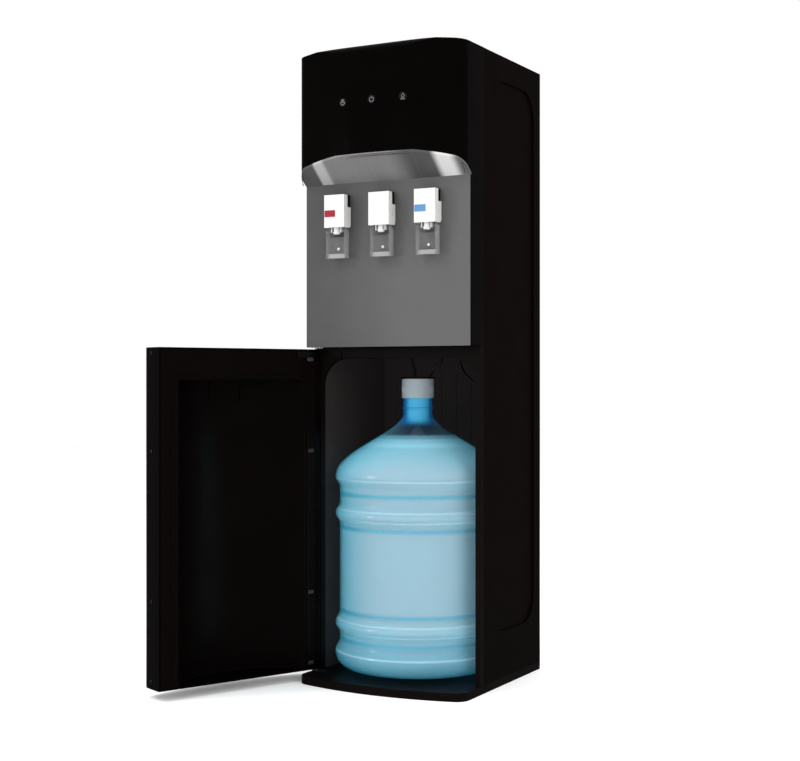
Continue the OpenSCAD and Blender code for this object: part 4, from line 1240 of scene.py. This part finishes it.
@dataclass
class Machinery:
    """What works behind the panels: tanks, coil, compressor and pump."""

    weld: float = 1.2 * MM
    tank_r: float = 52 * MM
    compressor_r: float = 62 * MM

    def build(self) -> None:
        """Dresses the machinery and lays a weld bead round the hot tank and the compressor."""
        dress({"cold_tank": Kind.TANK, "cold_tank_jacket": Kind.FOAM, "evaporator_coil": Kind.COPPER,
               "hot_tank": Kind.TANK, "heater_band": Kind.ZINC, "tank_deck": Kind.ZINC,
               "compressor": Kind.ENAMEL, "compressor_grommets": Kind.RUBBER, "water_pump": Kind.SATIN,
               "filter_drier": Kind.COPPER})
        self.bead("hot_tank", self.tank_r, 0.7, Kind.TANK)
        self.bead("compressor", self.compressor_r, 0.42, Kind.ENAMEL)

    def bead(self, node: str, radius: float, share: float, kind: Kind) -> None:
        """A weld bead round a vessel: a circle of the vessel's radius swept with a rippled round section.

        Args:
            node: the vessel's CAD node.
            radius: the vessel's radius.
            share: how far up the vessel it lies, from 0 to 1.
            kind: the bead's finish.
        """
        low, high = corner(node)
        middle = (low + high) / 2
        angle = np.linspace(0.0, 2.0 * np.pi, 120, endpoint=False)
        reach = radius + 0.15 * MM * np.sin(40.0 * angle)
        path = spots(middle[0] + reach * np.cos(angle), middle[1] + reach * np.sin(angle),
                     low[2] + share * (high[2] - low[2]))
        made = sweep(path, round_section(self.weld, 8), (0, 0, 1), closed=True)
        make_piece(node + "_weld", made, "cabinet", kind)


@dataclass
class Rear:
    """The rear panel's fittings: screws, condenser, switches, gland and drain."""

    grip_ribs: int = 24

    def build(self) -> None:
        """Builds the rear fittings."""
        dress({"condenser": Kind.PANEL, "back_screws": Kind.SCREW, "drain_tube": Kind.WHITE})
        refine("switch_bezel", Kind.SATIN, 0.4 * MM)
        refine("power_gland", Kind.SATIN, 0.6 * MM)
        refine("heater_switch", Kind.RED_KEY, 0.3 * MM)
        refine("cooler_switch", Kind.GREEN_KEY, 0.3 * MM)
        self.drain_cap()

    def drain_cap(self) -> None:
        """The drain's cap with grip ribs: its radius ripples by 0.3 mm (1 + cos n a) along the skirt."""
        low, high = corner("drain_cap")
        radius = (high[0] - low[0]) / 2
        middle = (low + high) / 2
        deep = high[1] - low[1]
        skirt = np.linspace(0.8 * MM, deep - 1.2 * MM, 10)
        outline = np.vstack([[[radius - 2 * MM, 0.0], [radius - 0.6 * MM, 0.0]],
                             spots(radius, skirt),
                             [[radius - 0.9 * MM, deep], [0.0, deep]]])
        closing = np.array([[0.0, deep - 2 * MM], [radius - 2 * MM, deep - 2 * MM], [radius - 2 * MM, 0.0]])
        turned = lathe(np.vstack([outline, closing]), (0.0, 0.0), 192, self.ribs(deep))
        placed = turned.placed((middle[0], low[1], middle[2]), (1, 0, 0), (0, 0, -1), (0, 1, 0))
        make_piece("drain_grip", placed, "drain_plug", Kind.WHITE, ("drain_cap",))

    def ribs(self, deep: float) -> Callable[[np.ndarray, np.ndarray], np.ndarray]:
        """The ripple of the drain cap's skirt for a cap of a depth."""
        def ripple(angle: np.ndarray, height: np.ndarray) -> np.ndarray:
            """A rib's change of radius at an angle and a height."""
            fade = Bottle.bump((height - deep / 2) / (deep / 2))
            return -0.3 * MM * (1.0 + np.cos(self.grip_ribs * angle)) * fade
        return ripple


# ---------------------------------------------------------------- studio

@dataclass
class Studio:
    """A pale floor, soft light and the camera."""

    floor_r: float = 9.0
    camera_at: tuple[float, float, float] = (1.1482, -2.1829, 0.509)
    camera_turn: tuple[float, float, float] = (90.0, 0.0, 28.5)
    lens: float = 64.64
    glossy_loss: float = 0.88

    def build(self) -> None:
        """Builds the floor, the world, the lights and the camera."""
        self.floor()
        self.world()
        self.light("key", (-1.5, -2.2, 3.1), (0.0, 0.0, 0.5), (1.5, 1.5), 62.0, False)
        self.light("fill", (2.6, -1.5, 1.5), (0.0, 0.0, 0.5), (1.8, 1.8), 30.0, False)
        self.light("top", (0.2, 0.4, 3.2), (0.0, 0.0, 0.0), (2.4, 2.4), 55.0, False)
        self.light("glint", (-1.7, -1.9, 0.75), (0.0, 0.0, 0.3), (0.35, 0.7), 7.0, True)
        self.camera()
        bpy.context.scene.view_settings.view_transform = "Standard"

    def floor(self) -> None:
        """A round pale floor with a faint mottle, left out of reflections."""
        outline = spots(np.linspace(0.0, self.floor_r, 40), 0.0)
        surface = lathe(outline, (0.0, 0.0), 96)
        mesh = bpy.data.meshes.new("floor")
        mesh.from_pydata(surface.points.tolist(), [], surface.faces[0].tolist())
        shader = Shader("floor_pale", (0.93, 0.93, 0.93), 0.7, level=0.1, glow=0.12)
        shader.feed("Base Color", shader.blend(shader.noise(0.8), (0.92, 0.92, 0.92), (0.95, 0.95, 0.95)))
        mesh.materials.append(shader.material)
        floor = bpy.data.objects.new("floor", mesh)
        bpy.context.scene.collection.objects.link(floor)
        floor.visible_glossy = False

    def world(self) -> None:
        """White surroundings, dimmer in reflections, so that gloss black stays black."""
        world = bpy.data.worlds.new("studio")
        bpy.context.scene.world = world
        world.use_nodes = True
        tree = world.node_tree
        tree.nodes.clear()
        path = tree.nodes.new("ShaderNodeLightPath")
        dim = tree.nodes.new("ShaderNodeMath")
        dim.operation = "MULTIPLY_ADD"
        dim.inputs[1].default_value = -self.glossy_loss
        dim.inputs[2].default_value = 1.0
        glow = tree.nodes.new("ShaderNodeBackground")
        end = tree.nodes.new("ShaderNodeOutputWorld")
        tree.links.new(path.outputs["Is Glossy Ray"], dim.inputs[0])
        tree.links.new(dim.outputs[0], glow.inputs["Strength"])
        tree.links.new(glow.outputs[0], end.inputs["Surface"])
        glow.inputs["Color"].default_value = (1.0, 1.0, 1.0, 1.0)

    @staticmethod
    def light(name: str, at: Sequence[float], towards: Sequence[float], size: tuple[float, float],
              power: float, mirrored: bool) -> None:
        """A soft light in a rectangle.

        Args:
            name: its name.
            at: its place.
            towards: the point that it faces.
            size: its width and height.
            power: its power in watts.
            mirrored: whether gloss shows its reflection.
        """
        lamp = bpy.data.lights.new(name, "AREA")
        lamp.shape = "RECTANGLE"
        lamp.size, lamp.size_y = size
        lamp.energy = power
        holder = bpy.data.objects.new(name, lamp)
        bpy.context.scene.collection.objects.link(holder)
        holder.location = at
        holder.visible_glossy = mirrored
        aim = holder.location - Vector(towards)
        holder.rotation_euler = aim.to_track_quat("Z", "Y").to_euler()

    def camera(self) -> None:
        """The camera, level, from the front right."""
        data = bpy.data.cameras.new("camera")
        data.lens = self.lens
        data.sensor_width = 36.0
        holder = bpy.data.objects.new("camera", data)
        bpy.context.scene.collection.objects.link(holder)
        holder.location = self.camera_at
        holder.rotation_euler = tuple(math.radians(turn) for turn in self.camera_turn)
        bpy.context.scene.camera = holder


def main() -> None:
    """Builds each sub-assembly in order."""
    logging.basicConfig(level=logging.INFO, format="%(name)s: %(message)s")
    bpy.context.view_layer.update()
    for part in (Studio(), Cabinet(), ControlStrip(), TapBay(), Door(), BottleBay(), Bottle(), Machinery(),
                 Rear()):
        LOG.info("building %s", type(part).__name__)
        part.build()


if __name__ == "__main__":
    main()
